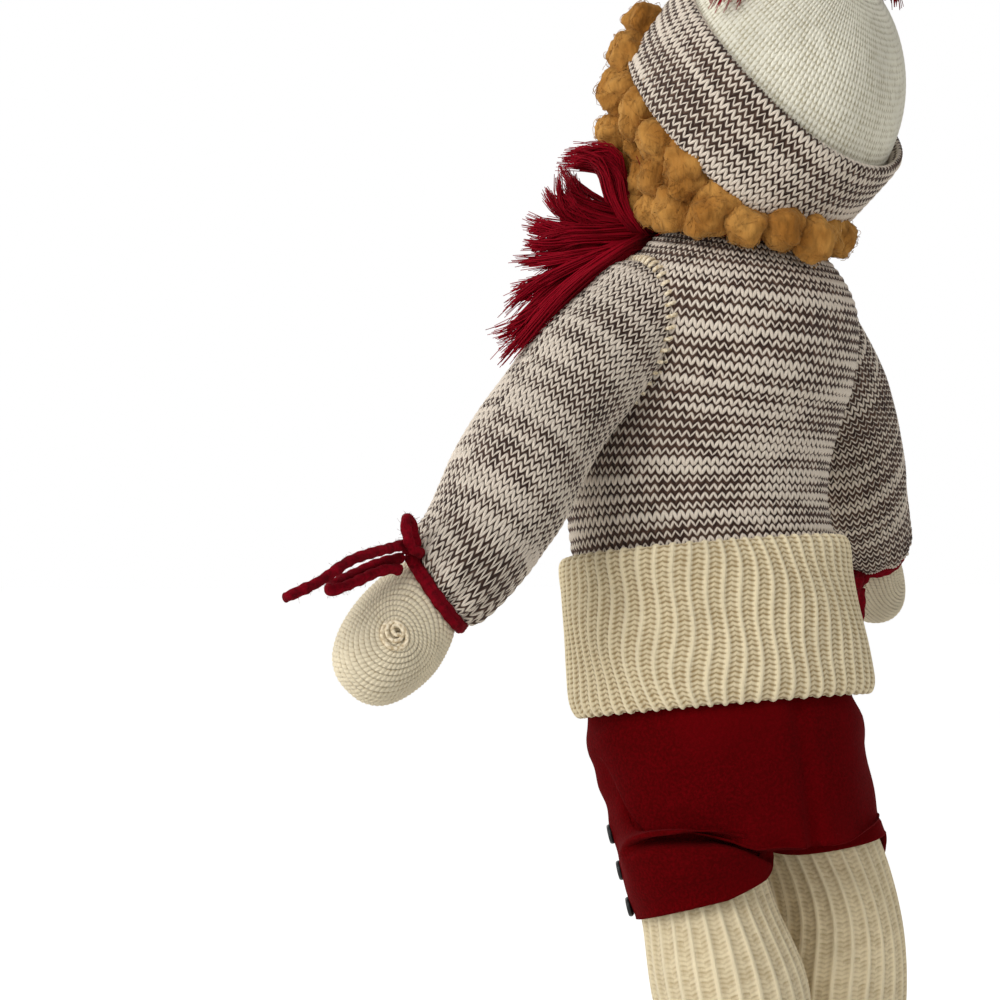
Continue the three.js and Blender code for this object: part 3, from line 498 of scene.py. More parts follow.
def silk_floss():
    m = Shader("floss", roughness=0.6, specular_ior_level=0.1)
    strand, along = m.uv()
    pick = m.chance(strand * 997.0, 0.0, 0.0)
    colour = m.mix(pick, rgb(110, 0, 14), rgb(152, 0, 27))
    # Painted shade: the threads darken towards the knot
    return m.finish(m.mix(along.ramp(0.0, 0.35, 1.0, 0.0), colour, rgb(84, 0, 10)))


def wool_roving():
    m = Shader("roving", roughness=1.0, sheen_weight=0.3, sheen_roughness=0.45, sheen_tint=rgb(240, 205, 140),
               specular_ior_level=0.1)
    fibre = m.noise(420.0, 5.0, stretch=(1.0, 1.0, 0.35))
    colour = m.mix(m.noise(60.0, 3.0).ramp(0.3, 0.7), rgb(150, 98, 40), rgb(190, 138, 70))
    # Painted shade between the fibres
    return m.finish(m.shade(fibre.ramp(0.25, 0.6), colour, 0.3), fibre, 0.0012)


def cream_yarn():
    m = Shader("cream_yarn", sheen_weight=0.2)
    fibre = m.noise(800.0, 4.0)
    return m.finish(m.mix(fibre.ramp(0.3, 0.65), rgb(190, 168, 130), rgb(248, 234, 206)), fibre, 0.0005)


def polished(name, colour, roughness):
    m = Shader(name, roughness=roughness, specular_ior_level=0.3, coat_weight=0.1, coat_roughness=0.2)
    cloud = m.noise(300.0)
    return m.finish(m.mix(cloud.ramp(0.3, 0.7), rgb(*colour), rgb(*[c * 0.6 for c in colour])), cloud, 0.0001)


# The last number makes each part's marl paler or darker: painted light and shade, with the lit left sleeve
# palest and the shaded right sleeve darkest
MARL = {part: marl_knit(f"marl_{part}", seed, light) for part, seed, light in (
    ("torso", 1.0, -0.03), ("left", 2.0, 0.01), ("right", 3.0, -0.07), ("brim", 4.0, -0.03))}
CREAM_CROWN = column_knit("cream_crown", 5.0, (242, 238, 220), (178, 168, 138))
CREAM_BODY = cream_knit("cream_body", 6.0)
CREAM_HAND = ringed_knit("cream_hand", 7.0)
CREAM_CUFF = cream_rib("cream_cuff", 8.0, 0.5)
CREAM_LEG = cream_rib("cream_leg", 9.0, 0.18)
VELVET = velvet_cloth()
YARN = wool_yarn()
FLOSS = silk_floss()
ROVING = wool_roving()
BUTTON = polished("button_black", (12, 11, 11), 0.45)
CREAM_YARN = cream_yarn()

# Knitting: how far a stitch stands up, and rows of points to a course of rib
STITCH_DEPTH = 0.9
RIB_ROWS = 3


def knit(form, wales, courses, depth, per_wale=4, per_course=5, slope=0.7, fade_over=1, columns=False):
    """Points and uv of plain knit on form(turn, course): rows of points follow the zigzag of the stitches."""
    u = np.arange(wales * per_wale + 1) / per_wale
    w = np.arange(courses * per_course + 1) / per_course
    zigzag = slope * (np.abs(2 * (u % 1) - 1) - 0.5)
    fade = np.minimum(1, np.minimum(w, courses - w) / fade_over)
    turn, course = np.meshgrid(u / wales * math.tau, w)
    course = course + fade[:, None] * zigzag[None, :]
    strand = np.abs(np.sin(math.pi * w)) ** 0.6
    leg = 0.4 + 0.6 * np.abs(np.sin(math.tau * u))
    if columns:
        strand, leg = 0.5 + 0.5 * strand, 0.25 + 0.75 * np.abs(np.sin(math.pi * u))
    height = depth * strand[:, None] * leg[None, :]
    return raised(form, turn, course, height)[:, :-1], np.stack(np.meshgrid(u, w), -1)


def rib(form, ribs, courses, per_rib, ridge_height, bar_height, sunk=0):
    """Points and uv of rib on form(turn, course): raised ribs with small bars between them."""
    u = np.arange(ribs * per_rib + 1) / per_rib
    w = np.arange(courses * RIB_ROWS + 1) / RIB_ROWS
    off = np.abs(u % 1 - 0.5)[None, :]
    ridge = 1 - smooth(off, 0.08, 0.26)
    bar = np.abs(np.sin(math.pi * (w[:, None] - 2 * off**2)))
    height = ridge * ridge_height + (1 - ridge) * bar * bar_height - sunk
    points = raised(form, *np.meshgrid(u / ribs * math.tau, w), height)
    return points[:, :-1], np.stack(np.meshgrid(u, w), -1)


# Torso: hips carried back and to the side under a straight chest
TORSO_LINE = [(0, -25), (36, -19), (53.8, 12), (53, 66), (55.5, 150), (55, 196), (36, 219), (22, 222)]
TORSO = Outline(spline(TORSO_LINE))
TORSO_DEPTH = 0.87
BEND = (-0.1228, 0.2419)
BEND_TOP, BEND_LOW = 165, 95
TORSO_SAG = ([-20, 40, 90, 112, 128, 165], [1.5, 5, 6, 7.2, 6, 0])  # heights, and how far each leans aside
TORSO_FOOT = 62  # inside the cuff
TORSO_WALES, COURSE = 100, 3.75


def on_torso(radius, height, turn):
    """A point round the torso's axis, bent, in the row frame."""
    x, y = radius * np.cos(turn), radius * TORSO_DEPTH * np.sin(turn)
    share = np.clip((BEND_TOP - height) / (BEND_TOP - BEND_LOW), 0, 1)
    shift = share**2 * (BEND_TOP - BEND_LOW) / 2 + np.maximum(BEND_LOW - height, 0)
    tip = share * (BEND[0] * x + BEND[1] * y)
    bent = placed(np.stack([x + BEND[0] * shift, y + BEND[1] * shift, height + tip], -1), "torso")
    return bent + ASIDE * np.interp(height, *TORSO_SAG)[..., None]


def from_torso(points, depth):
    """How far points lie from the torso's axis, and how high, above its bend."""
    origin, x, z = FRAMES["torso"]
    away = points - origin
    return np.hypot(away @ x, away @ np.cross(z, x) / depth), away @ z


torso_start = TORSO.run_at(TORSO_FOOT)
torso_courses = int((TORSO.length - torso_start) / COURSE)


def torso_form(turn, course):
    radius, height = TORSO.at(torso_start + course * COURSE)
    swell = lumps(around(radius, turn, height), 70, 11)
    return on_torso(radius + 0.7 * swell, height, turn - math.pi / 2)


points, uv = knit(torso_form, TORSO_WALES, torso_courses, STITCH_DEPTH, slope=0.6)
add("torso", grid_mesh(points, uv), MARL["torso"], "torso", ("torso_skin", "torso_filling"))

# Sleeves: the head of each is a dome that comes out of the torso, sewn in with a puckered seam
ARM_R, DOME_FROM = 23, 1.1
dome = [(ARM_R * math.cos(a), -ARM_R * math.sin(a)) for a in np.linspace(DOME_FROM, 0, 12)]
ARM_LINE = [(ARM_R, 0), (24, 31), (23.4, 50), (24, 70), (24.6, 92), (23.6, 106), (22, 124), (19.4, 136),
            (13.5, 142)]
ARM = Outline([*dome[:-1], *spline(ARM_LINE, 12)])
ARM_WALES, ARM_PLEATS = 50, 13
arm_courses = int(ARM.length / COURSE)
WRIST = 142
# Which way each arm bows, and how far at each distance down it
ARM_BOW = {
    "left": ((0.7047, -0.4251, 0.568),
             [(0, 0.5), (18, 3.6), (31, 5.4), (50, 5.6), (70, 4.9), (92, 2.8), (108, 1.6), (125, 0)]),
    "right": ((-0.805, 0.4855, 0.335),
              [(-20, 2), (0, 6), (30, 8.6), (56, 9), (103, 3.6), (142, 0), (165, -5), (200, -6)]),
}
# The left wrist moves out and down and tilts, the hand tilting less and splaying; the right wrist only tilts
LEFT_OUT, LEFT_DOWN, LEFT_TILT, LEFT_LEVEL, LEFT_SPLAY = 4, 3.5, 0.65, 0.6, 0.12
RIGHT_TILT = (-0.32, 0.28)


def on_arm(points, name):
    """Points in an arm's frame, moved as the stuffed arm hangs."""
    x, y, down = points[..., 0], points[..., 1], -points[..., 2]
    way, stations = ARM_BOW[name]
    aside = np.array(way) * bow(down, stations)
    if name == "left":
        low = smooth(down, WRIST - 30, WRIST)
        lean = LEFT_TILT * y * low * (1 - LEFT_LEVEL * smooth(down, WRIST, WRIST + 38))
        x = x + LEFT_OUT * low + LEFT_SPLAY * np.maximum(down - WRIST, 0)
        down = down + LEFT_DOWN * low + lean
    else:
        down = down + smooth(down, WRIST - 42, WRIST) * (RIGHT_TILT[1] * y + RIGHT_TILT[0] * x)
    return placed(np.stack([x, y, -down], -1), f"{name}_arm") + aside


SEAM_LOOPS, SEAM_R, SEAM_YARN_R = 46, 2.6, 0.8
SEAM_STEPS, SEAM_ROWS, SEAM_WITHIN, SEAM_PER_LOOP = 180, 200, 0.6, 14


def seam_coil(form, courses):
    """A yarn that winds round the line where a sleeve comes out of the torso."""
    steps = np.linspace(0, math.tau, SEAM_STEPS, endpoint=False)
    points = form(*np.meshgrid(steps, np.linspace(0, courses * SEAM_WITHIN, SEAM_ROWS)))
    reach, height = from_torso(points, TORSO_DEPTH)
    inside = reach < TORSO.radius_at(height)
    last = SEAM_ROWS - 1 - np.argmax(inside[::-1], axis=0)
    line = points[last, np.arange(SEAM_STEPS)]
    line = sum(np.roll(line, k, axis=0) for k in range(-4, 5)) / 9
    share = np.linspace(0, SEAM_STEPS, SEAM_LOOPS * SEAM_PER_LOOP)
    line = between(share, np.arange(SEAM_STEPS + 1), np.vstack([line, line[:1]]))
    along = unit(np.gradient(line, axis=0))
    out = unit(np.cross(along, unit(line - line.mean(0))))
    phase = (share / SEAM_STEPS * SEAM_LOOPS * math.tau)[:, None]
    wide = SEAM_R * (1 + 0.35 * lumps(line, 14, 23))[:, None]
    return line + wide * (np.cos(phase) * out + np.sin(phase) * np.cross(along, out))


for name, side in SIDES.items():
    def sleeve_form(turn, course):
        radius, down = ARM.at(course * ARM.length / arm_courses)
        pleat = 1 + 0.05 * np.cos(ARM_PLEATS * turn + 2 * np.sin(3 * turn)) * smooth(down, 118, 139)
        flat = around(radius * pleat, -turn, -down)
        swell = lumps(flat, 60, 21 + side)[..., None] * smooth(down, 5, 40)[..., None] * 0.8
        return on_arm(flat * (1 + swell * np.array([0.03, 0.03, 0])), name)

    points, uv = knit(sleeve_form, ARM_WALES, arm_courses, STITCH_DEPTH, slope=0.8)
    add(f"{name}_sleeve_knit", grid_mesh(points, uv), MARL[name], f"{name}_arm",
        (f"{name}_sleeve", f"{name}_arm_filling", f"{name}_shoulder_wad"))
    coil = seam_coil(sleeve_form, arm_courses)
    add(f"{name}_armhole_seam", tubes(coil[None], SEAM_YARN_R, 6), CREAM_YARN, "torso")

# Hands: rings of stitches round a gathered point on the hand's side
HAND_LINE = [(0, 197), (8, 195.8), (15, 190.5), (19.8, 180), (21.2, 166), (18.4, 151), (13.5, 142.3),
             (11, 139)]
hand_line = spline(HAND_LINE)[::-1]
HAND_TOP, HAND_TIP = HAND_LINE[-1][1], HAND_LINE[0][1]
HAND_MIDDLE = np.array([0, 0, -168.0])
HAND_REACH = 40.0
GATHER = {"left": (0.596, 0.74, -0.05), "right": (0.7, -0.5, -0.4)}
HAND_SIZE = {"left": (0.89, 1.0), "right": (0.8, 0.82)}  # across and along, of the stuffed solid
HAND_RINGS, HAND_STITCHES, FEWEST_STITCHES = 29, 84, 10
HAND_STITCH_DEPTH, PUCKER_DEEP, PUCKER_WIDE = 0.85, 2.2, 0.16
GATHER_TURNS, GATHER_POINTS, GATHER_YARN_R = 2.6, 70, 0.8


def hand_form(name):
    """The hand's skin, by the turn round its gathered point and the angle from it."""
    pole = unit(np.array(GATHER[name]))
    ax = unit(np.cross(pole, (0, 0, 1)))
    ay = np.cross(pole, ax)

    def form(turn, rise):
        turn, rise = turn[..., None], rise[..., None]
        ray = np.cos(rise) * pole + np.sin(rise) * (np.cos(turn) * ax + np.sin(turn) * ay)
        low, high = np.zeros(rise.shape), np.full(rise.shape, HAND_REACH)
        for _ in range(24):
            reach = (low + high) / 2
            x, y, down = np.moveaxis((HAND_MIDDLE + ray * reach) * (1, 1, -1), -1, 0)
            inside = np.hypot(x, y) < np.interp(down, hand_line[:, 1], hand_line[:, 0])
            inside = (inside & (down < HAND_TIP) & (down > HAND_TOP))[..., None]
            low, high = np.where(inside, reach, low), np.where(inside, high, reach)
        return HAND_MIDDLE + ray * ((low + high) / 2)
    return form


for name in SIDES:
    def on_hand(points, out):
        across, along = HAND_SIZE[name]
        points = points + unit(points - HAND_MIDDLE) * out + (0, 0, WRIST)
        return on_arm(points * (across, across, along) - (0, 0, WRIST), name)

    form = hand_form(name)
    u = np.arange(HAND_STITCHES * 3 + 1) / 3
    w = np.arange(HAND_RINGS * 5 + 1) / 5
    turn, rise = np.meshgrid(u / HAND_STITCHES * math.tau, 0.06 + (math.pi - 0.12) * w / HAND_RINGS)
    ring = np.minimum(np.floor(w), HAND_RINGS - 1) + 0.5
    in_ring = np.maximum(np.round(HAND_STITCHES * np.sin(math.pi * ring / HAND_RINGS)), FEWEST_STITCHES)
    w = w[:, None]
    stitch = u * in_ring[:, None] / HAND_STITCHES
    slant = np.abs(np.sin(math.pi * (stitch + STITCH_SLANT * (w % 1))))
    height = HAND_STITCH_DEPTH * (0.15 + 0.85 * np.abs(np.sin(math.pi * w)) ** 0.7) * (0.45 + 0.55 * slant)
    pucker = -PUCKER_DEEP * bell(rise, 0, PUCKER_WIDE)
    points = on_hand(form(turn, rise), (height + pucker)[..., None])
    uv = np.stack(np.broadcast_arrays(stitch, w), -1)
    add(f"{name}_hand_knit", grid_mesh(points[::-1, :-1], uv[::-1]), CREAM_HAND, f"{name}_arm",
        (f"{name}_hand",))
    wind = np.linspace(0, 1, GATHER_POINTS)
    curl = on_hand(form(GATHER_TURNS * math.tau * wind, 0.3 - 0.26 * wind + 0.06 * np.sin(19 * wind)), 0.5)
    add(f"{name}_hand_gather", tubes(curl[None], GATHER_YARN_R, 8), CREAM_YARN, f"{name}_arm")

# Waist cuff: a folded band of rib
CUFF_RIBS, RIB_COURSE = 58, 1.9
CUFF_SECTION = [(56.6, 35), (58.2, 32.4), (60, 33), (61.4, 38), (61, 50), (60.2, 64), (60, 80), (60.2, 88),
                (59.6, 92), (58, 93.2), (56.4, 91), (55, 82), (54.8, 60), (55.4, 42), (56.6, 35)]
cuff_line = Outline(spline(CUFF_SECTION))
cuff_courses = int(cuff_line.length / RIB_COURSE)


def cuff_form(turn, course):
    radius, height = cuff_line.at(np.mod(course, cuff_courses) * cuff_line.length / cuff_courses)
    angle = turn - math.pi / 2
    twist = 0.035 * np.sin(height / 14 + 2 * angle) + 0.02 * np.sin(height / 6 + 5 * angle)
    sway = 0.9 * np.sin(3 * angle + 0.6) + 0.6 * np.sin(5 * angle + 2 + height / 25)
    sway = sway + 2.2 * bell(angle, 2.6, 0.45) * (1 - smooth(height, 45, 85))
    return on_torso(radius + sway, height, angle + twist)


points, uv = rib(cuff_form, CUFF_RIBS, cuff_courses, per_rib=8, ridge_height=1.3, bar_height=0.5)
add("waist_cuff_rib", grid_mesh(points[:-1], uv, "joined"), CREAM_CUFF, "torso",
    ("waist_cuff",))

# Legs: wide rib, from inside the shorts down into the feet
LEG_RIBS = 26
ANKLE_HEIGHT, HIP_HEIGHT = 26, 205
LEG_TOP = {"left": [(20, 25), (25.2, 29)], "right": [(19, 13), (25.2, 17)]}
LEG_WIDEST = {"left": 30.4, "right": 28.8}
# How far each leg swings to the photograph's right, by how far down
LEG_BOW = {"left": [(15, 0), (60, 1.2), (100, 2.6), (140, 2), (185, 0)],
           "right": [(15, 0), (40, 6), (60, 7), (90, 2.5), (120, -1), (185, 0)]}


def leg_bow(name, down):
    return -ASIDE * bow(down, LEG_BOW[name])


def on_leg(name, turn, radius, down):
    """Points round a leg's axis, bowed."""
    radius, down = radius + 0 * turn, down + 0 * turn
    return placed(around(radius, turn, -down), f"{name}_leg") + leg_bow(name, down)


for name, side in SIDES.items():
    ankle = (HIP_HEIGHT - ANKLE_HEIGHT) / FRAMES[f"{name}_leg"][2, 2]
    calf = [(26.2, 50), (LEG_WIDEST[name], 84), (25, 125), (17.5, ankle), (10, ankle + 5)]
    leg_line = Outline(spline([*LEG_TOP[name], *calf]))
    leg_courses = int(leg_line.length / RIB_COURSE)

    def leg_form(turn, course):
        radius, down = leg_line.at(course * leg_line.length / leg_courses)
        swell = lumps(around(30, turn, down), 60, 31 + side)
        return on_leg(name, -turn + 0.04 * np.sin(down / 15 + 2 * turn), radius + 0.6 * swell, down)

    points, uv = rib(leg_form, LEG_RIBS, leg_courses, per_rib=10, ridge_height=1.1, bar_height=0.2, sunk=0.5)
    add(f"{name}_leg_rib", grid_mesh(points, uv), CREAM_LEG, f"{name}_leg",
        (f"{name}_stocking", f"{name}_leg_filling"))

# Feet: stuffed eggs with a nearly flat sole
FOOT_HALF = np.array([25, 45, 22.8])
FOOT_SKIN = 0.7
FOOT_AHEAD, FOOT_MIDDLE = 17, 22.6
FOOT_WALES, FOOT_COURSES, FOOT_STITCH_DEPTH = 56, 26, 0.6
for name in SIDES:
    origin, _, axis = FRAMES[f"{name}_leg"]
    ankle = origin - axis * (HIP_HEIGHT - ANKLE_HEIGHT) / axis[2]
    centre = np.array([ankle[0], ankle[1] - FOOT_AHEAD, FOOT_MIDDLE])

    def foot_form(turn, course):
        rise = 0.05 + (math.pi - 0.1) * course / FOOT_COURSES
        p = np.stack([np.sin(rise) * np.cos(turn), -np.cos(rise), np.sin(rise) * np.sin(turn)], -1)
        out = np.minimum(np.hypot(p[..., 0], p[..., 1]), 0.999)
        sole = -((1 - out**4) ** 0.25)
        p[..., 2] = np.where(p[..., 2] < 0, np.maximum(sole, p[..., 2] * 1.6), p[..., 2])
        return centre + p * (FOOT_HALF - FOOT_SKIN)

    points, uv = knit(foot_form, FOOT_WALES, FOOT_COURSES, FOOT_STITCH_DEPTH)
    points[..., 2] = np.maximum(points[..., 2], 0.0)
    add(f"{name}_foot_knit", grid_mesh(points, uv), CREAM_BODY, f"{name}_leg",
        (f"{name}_foot",))

# Shorts: two halves of velvet, sewn along the middle, each from under the cuff down over a leg.
# q goes round a half from the middle seam behind to the one in front.
SHORTS_ACROSS, SEAT_ROWS, TURN_ROWS, LEG_ROWS, HEM_ROWS = 120, 24, 44, 36, 8
SHORTS_R, SHORTS_TOP = 28.1, 46
# How far down the leg the hem lies
HEM = {"left": ([0, 0.07, 0.12, 0.16, 0.2, 0.3, 0.85, 0.95, 1], [27, 31, 36, 39, 42.5, 46, 47, 38, 29]),
       "right": ([0, 0.41, 0.58, 0.82, 0.95, 1], [24.5, 24.5, 50, 50, 36, 27])}
HEM_R, HEM_BEND_ROWS, HEM_INSIDE_STEP, HEM_BELOW = 0.8, 4, 2, 2
# How low the seat hangs behind, and in front away from the seam and at it
SEAT_LOW = {"left": ([0, 0.15, 0.2, 0.3, 0.5], [-26, -24, -20, -15.5, -14]),
            "right": ([0, 0.1, 0.2, 0.3, 0.5], [-26, -24, -21, -17, -12])}
FRONT_LOW, FRONT_SEAM_LOW = 16, -4
# How far down the leg the seat ends behind, on the left in a crease, and in front
LEG_START = {"left": ([0, 0.06, 0.12, 0.16, 0.2, 0.25, 0.3, 0.35, 0.4, 0.5],
                      [20, 26, 31, 32.5, 30.5, 25.3, 20.2, 17.4, 15.8, 14.3]),
             "right": ([0, 0.5], [20, 20])}
FRONT_START, SEAM_DROP = 24, 5
EASE, SEAT_EASE = 0.6, 2.3
# Heights over which the seat's ease and its proud buttock fade, and under which its girth stays
EASE_FADES, PROUD_FADES, GIRTH_STAYS = (22, 34), (-12, 30), 12
FLARE, FLARE_BEHIND, FULLNESS = 1.0, {"left": 2, "right": 1}, {"left": 8, "right": 0}
CREASE_WIDE, CREASE_LIP = 4.4, 3.8
PROUD = {"left": 0, "right": 1.8}  # how far the buttock stands out
TURN_RISE = 6
BULGE, SIDE_BULGE = 1.2, {"left": 2.4, "right": 0}
SEAM_DEEP, SEAM_DEEPER, SEAM_WIDE = 2.5, 9, 0.024
WRINKLE, WRINKLE_LENGTH = 0.8, 34
SEAT_BACK = np.cross(FRAMES["torso"][2], FRAMES["torso"][1])  # straight out from the middle of the back
q = np.linspace(0, 1, SHORTS_ACROSS + 1)[None, :]
behind = 1 - smooth(q, 0.4, 0.58)
inner = bell(np.minimum(q, 1 - q), 0, 0.06)


def crotch(down):
    """The line half way between the insides of the legs."""
    nought = 0.0 * down
    return (on_leg("left", math.pi + nought, SHORTS_R, down) + on_leg("right", nought, SHORTS_R, down)) / 2


for name, side in SIDES.items():
    seat_end = np.interp(q, *SEAT_LOW[name]) * behind
    seat_end = seat_end + (FRONT_LOW + (FRONT_SEAM_LOW - FRONT_LOW) * inner) * (1 - behind)
    leg_start = np.interp(q, *LEG_START[name]) * behind + FRONT_START * (1 - behind)
    leg_start = leg_start + SEAM_DROP * inner * behind
    hem = np.maximum(np.interp(q, *HEM[name]), leg_start + HEM_BELOW)
    seat_turn = math.pi / 2 - side * math.pi * q
    leg_turn = math.pi / 2 + side * (math.pi / 2 - math.tau * q)
    flare = FLARE_BEHIND[name] * behind + FLARE
    full = FULLNESS[name] * behind * smooth(q, 0.06, 0.25)
    tuck = smooth(q, 0.1, 0.16) * (1 - smooth(q, 0.4, 0.5)) * (side > 0)
    crease_deep = flare + full  # down to the leg itself
    proud = PROUD[name] * bell(q, 0.3, 0.22) * smooth(q, 0, 0.1)

    def on_seat(height):
        height = height + 0 * seat_turn
        ease = EASE + SEAT_EASE * (1 - smooth(height, *EASE_FADES))
        ease = ease + proud * (1 - smooth(height, *PROUD_FADES))
        return on_torso(TORSO.radius_at(np.maximum(height, GIRTH_STAYS)) + ease, height, seat_turn)

    def round_leg(radius, down):
        inside = np.full_like(leg_turn, math.pi if side > 0 else 0)
        joined = crotch(down) - on_leg(name, inside, SHORTS_R, down)
        return on_leg(name, leg_turn, radius, down) + joined * inner[..., None]

    rows = [on_seat(SHORTS_TOP + (seat_end - SHORTS_TOP) * k / SEAT_ROWS) for k in range(SEAT_ROWS)]
    for k in range(TURN_ROWS):
        share = k / TURN_ROWS
        to_leg = (smooth(share, 0, 1) ** (1 + 0.5 * behind))[..., None]
        seat = on_seat(seat_end - TURN_RISE * (1 - behind) * share)
        dip = tuck * (crease_deep * bell(k, TURN_ROWS, 3) - CREASE_LIP * bell(k, TURN_ROWS - 8, 5))
        thigh = round_leg(SHORTS_R + (flare + full) * share - dip, leg_start - TURN_RISE * (1 - share))
        rows.append(seat * (1 - to_leg) + thigh * to_leg)
    for k in range(LEG_ROWS + 1):
        share = k / LEG_ROWS
        below = (hem - leg_start) * share
        notch = crease_deep * tuck * np.exp(-((below / CREASE_WIDE) ** 4))
        radius = SHORTS_R + flare + full * (1 - smooth(share, 0.1, 1)) - notch
        rows.append(round_leg(radius, leg_start + below))
    for k in range(1, HEM_ROWS + 1):
        bend = min(1, k / HEM_BEND_ROWS) * math.pi
        tucked = max(0, k - HEM_BEND_ROWS) * HEM_INSIDE_STEP
        radius = SHORTS_R + flare - HEM_R * (1 - math.cos(bend))
        rows.append(round_leg(radius, hem + HEM_R * math.sin(bend) - tucked))
    points = np.concatenate(rows)
    outward = unit(np.cross(np.gradient(points, axis=1), np.gradient(points, axis=0))) * -side
    row = np.arange(len(rows))[:, None]
    leg_row = SEAT_ROWS + TURN_ROWS
    bulge = BULGE * bell(row, SEAT_ROWS, 5) * smooth(q, 0, 0.1) * (1 - smooth(q, 0.28, 0.4))
    bulge = bulge + SIDE_BULGE[name] * np.exp(-(((q - 0.48) / 0.1) ** 2 + ((row - SEAT_ROWS - 12) / 14) ** 2))
    seam = SEAM_DEEP + SEAM_DEEPER * smooth(row, 10, SEAT_ROWS + 0.6 * TURN_ROWS)
    seam = seam * bell(q, 0, SEAM_WIDE) * (1 - smooth(row, leg_row - 4, leg_row))
    wrinkle = WRINKLE * lumps(points * np.array([1, 1, 1.8]), WRINKLE_LENGTH, 41 + side)
    wrinkle = wrinkle * (row < len(rows) - HEM_ROWS) * (1 - inner)
    points = points + outward * (bulge + wrinkle)[..., None] - SEAT_BACK * seam[..., None]
    uv = np.stack(np.broadcast_arrays(q, row / len(rows)), -1)
    order = slice(None, None, -1) if side > 0 else slice(None)
    mesh = grid_mesh(points[:, order], uv[:, order], "open")
    shorts = add(f"{name}_shorts_velvet", mesh, VELVET, None,
                 (f"{name}_shorts_leg",) + (("shorts_seat",) if side > 0 else ()))
    hip, _, axis = FRAMES[f"{name}_leg"] * MM
    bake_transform(shorts)

# Buttons up the outside of each leg of the shorts
BUTTON_PROFILE = spline([(0.0, 1.5), (2.0, 1.45), (2.7, 1.6), (3.1, 2.1), (3.6, 2.2), (4.0, 1.5), (3.9, 0.7),
                         (3.2, 0.1)], 6)[1:]
BUTTON_DOWN = {"upper": 12, "middle": 27, "lower": 42}
BUTTON_LIFT, BUTTON_AHEAD = 0.8, math.radians(38)
for name, side in SIDES.items():
    angle = (0 if side > 0 else math.pi) - side * BUTTON_AHEAD
    outward = placed(around(1, angle, 0.0), f"{name}_leg") - placed(np.zeros(3), f"{name}_leg")
    for place, down in BUTTON_DOWN.items():
        across, out = BUTTON_PROFILE[:, :1], BUTTON_PROFILE[:, 1:]
        disc = around(across, np.linspace(0, math.tau, 40, endpoint=False), SHORTS_R + BUTTON_LIFT + out)
        points = placed(turned(disc[..., [2, 0, 1]], angle) - (0, 0, down), f"{name}_leg")
        points = points + outward * (leg_bow(name, down) @ outward)
        uv = np.full((len(points), points.shape[1] + 1, 2), 0.5)
        add(f"{name}_button_{place}_round", grid_mesh(points[::-1], uv), BUTTON, f"{name}_leg",
            (f"{name}_button_{place}",))

# Head, neck and face
HEAD_R, HEAD_RISE, HEAD_DEEP, HEAD_TALL = 49, 40, 0.97, 1.03
HEAD_WALES, HEAD_COURSES = 110, 44
HEAD_LOW, HEAD_SWEEP = -1.25, 2.75  # the angle where the knit starts, and how far it goes on
EYE_LEFT, EYE_UP, EYE_R, EYE_THICK = 21, -13, 4.6, 2.4
NOSE_UP, NOSE_R, NOSE_THICK = -23, 3.6, 3.4
MOUTH_HALF, MOUTH_UP, MOUTH_DIP, MOUTH_OUT, MOUTH_R = 13, -35, 5, 0.7, 1.1
NECK_R, NECK_WIDENS, NECK_LOW, NECK_TALL = 12, 3, 219, 16


def head_form(turn, course):
    rise = HEAD_LOW + HEAD_SWEEP * course / HEAD_COURSES
    flat = around(HEAD_R * np.cos(rise), turn + math.pi / 2, HEAD_TALL * HEAD_R * np.sin(rise) + HEAD_RISE)
    return placed(flat * (1, HEAD_DEEP, 1), "head")


points, uv = knit(head_form, HEAD_WALES, HEAD_COURSES, depth=0.5, per_wale=4, per_course=4)
add("head_knit", grid_mesh(points, uv), CREAM_BODY, "head",
    ("head_skin", "head_filling"))


def on_face(left, up, out=0.0):
    """A place on the face, from degrees left and up and mm out."""
    a, b = math.radians(left), math.radians(up)
    reach = HEAD_R + out
    return np.array([reach * math.sin(a) * math.cos(b), -HEAD_DEEP * reach * math.cos(a) * math.cos(b),
                     HEAD_TALL * reach * math.sin(b) + HEAD_RISE])


def bead(name, left, up, radius, thick, material, node):
    turn = np.linspace(0, math.tau, 36, endpoint=False)[:, None]
    rise = np.linspace(-0.3, math.pi / 2 - 0.05, 14)[:, None, None]
    normal = unit(on_face(left, up) - np.array([0, 0, HEAD_RISE]))
    ax = unit(np.cross((0, 0, 1), normal))
    ay = np.cross(normal, ax)
    dish = 0.25 * thick * bell(rise, math.pi / 2, 0.5)
    flat = (on_face(left, up, 0.5) + normal * (thick * np.sin(rise) - dish)
            + radius * np.cos(rise) * (np.cos(turn) * ax + np.sin(turn) * ay))
    uv = np.stack(np.meshgrid(np.arange(37) / 3, np.arange(14) / 2), -1)
    add(name, grid_mesh(placed(flat, "head"), uv), material, "head", (node,))


for name, side in SIDES.items():
    bead(f"{name}_eye_button", side * EYE_LEFT, EYE_UP, EYE_R, EYE_THICK, BUTTON, f"{name}_eye")
bead("nose_knit", 0, NOSE_UP, NOSE_R, NOSE_THICK, CREAM_BODY, "nose")
mouth = np.array([on_face(MOUTH_HALF * s, MOUTH_UP - MOUTH_DIP * (1 - s * s), MOUTH_OUT)
                  for s in np.linspace(-1, 1, 25)])
add("mouth_stitch", tubes(placed(mouth, "head")[None], MOUTH_R, 8), YARN, "head", ("mouth",))
turn, row = np.meshgrid(np.linspace(0, math.tau, 49), np.linspace(0, 1, 13))
neck = placed(around(NECK_R + NECK_WIDENS * row, turn, NECK_LOW + NECK_TALL * row), "torso")
add("neck_knit", grid_mesh(neck[:, :-1], np.stack([turn * 6, row * 8], -1)), CREAM_BODY, "neck",
    ("neck_filling",))

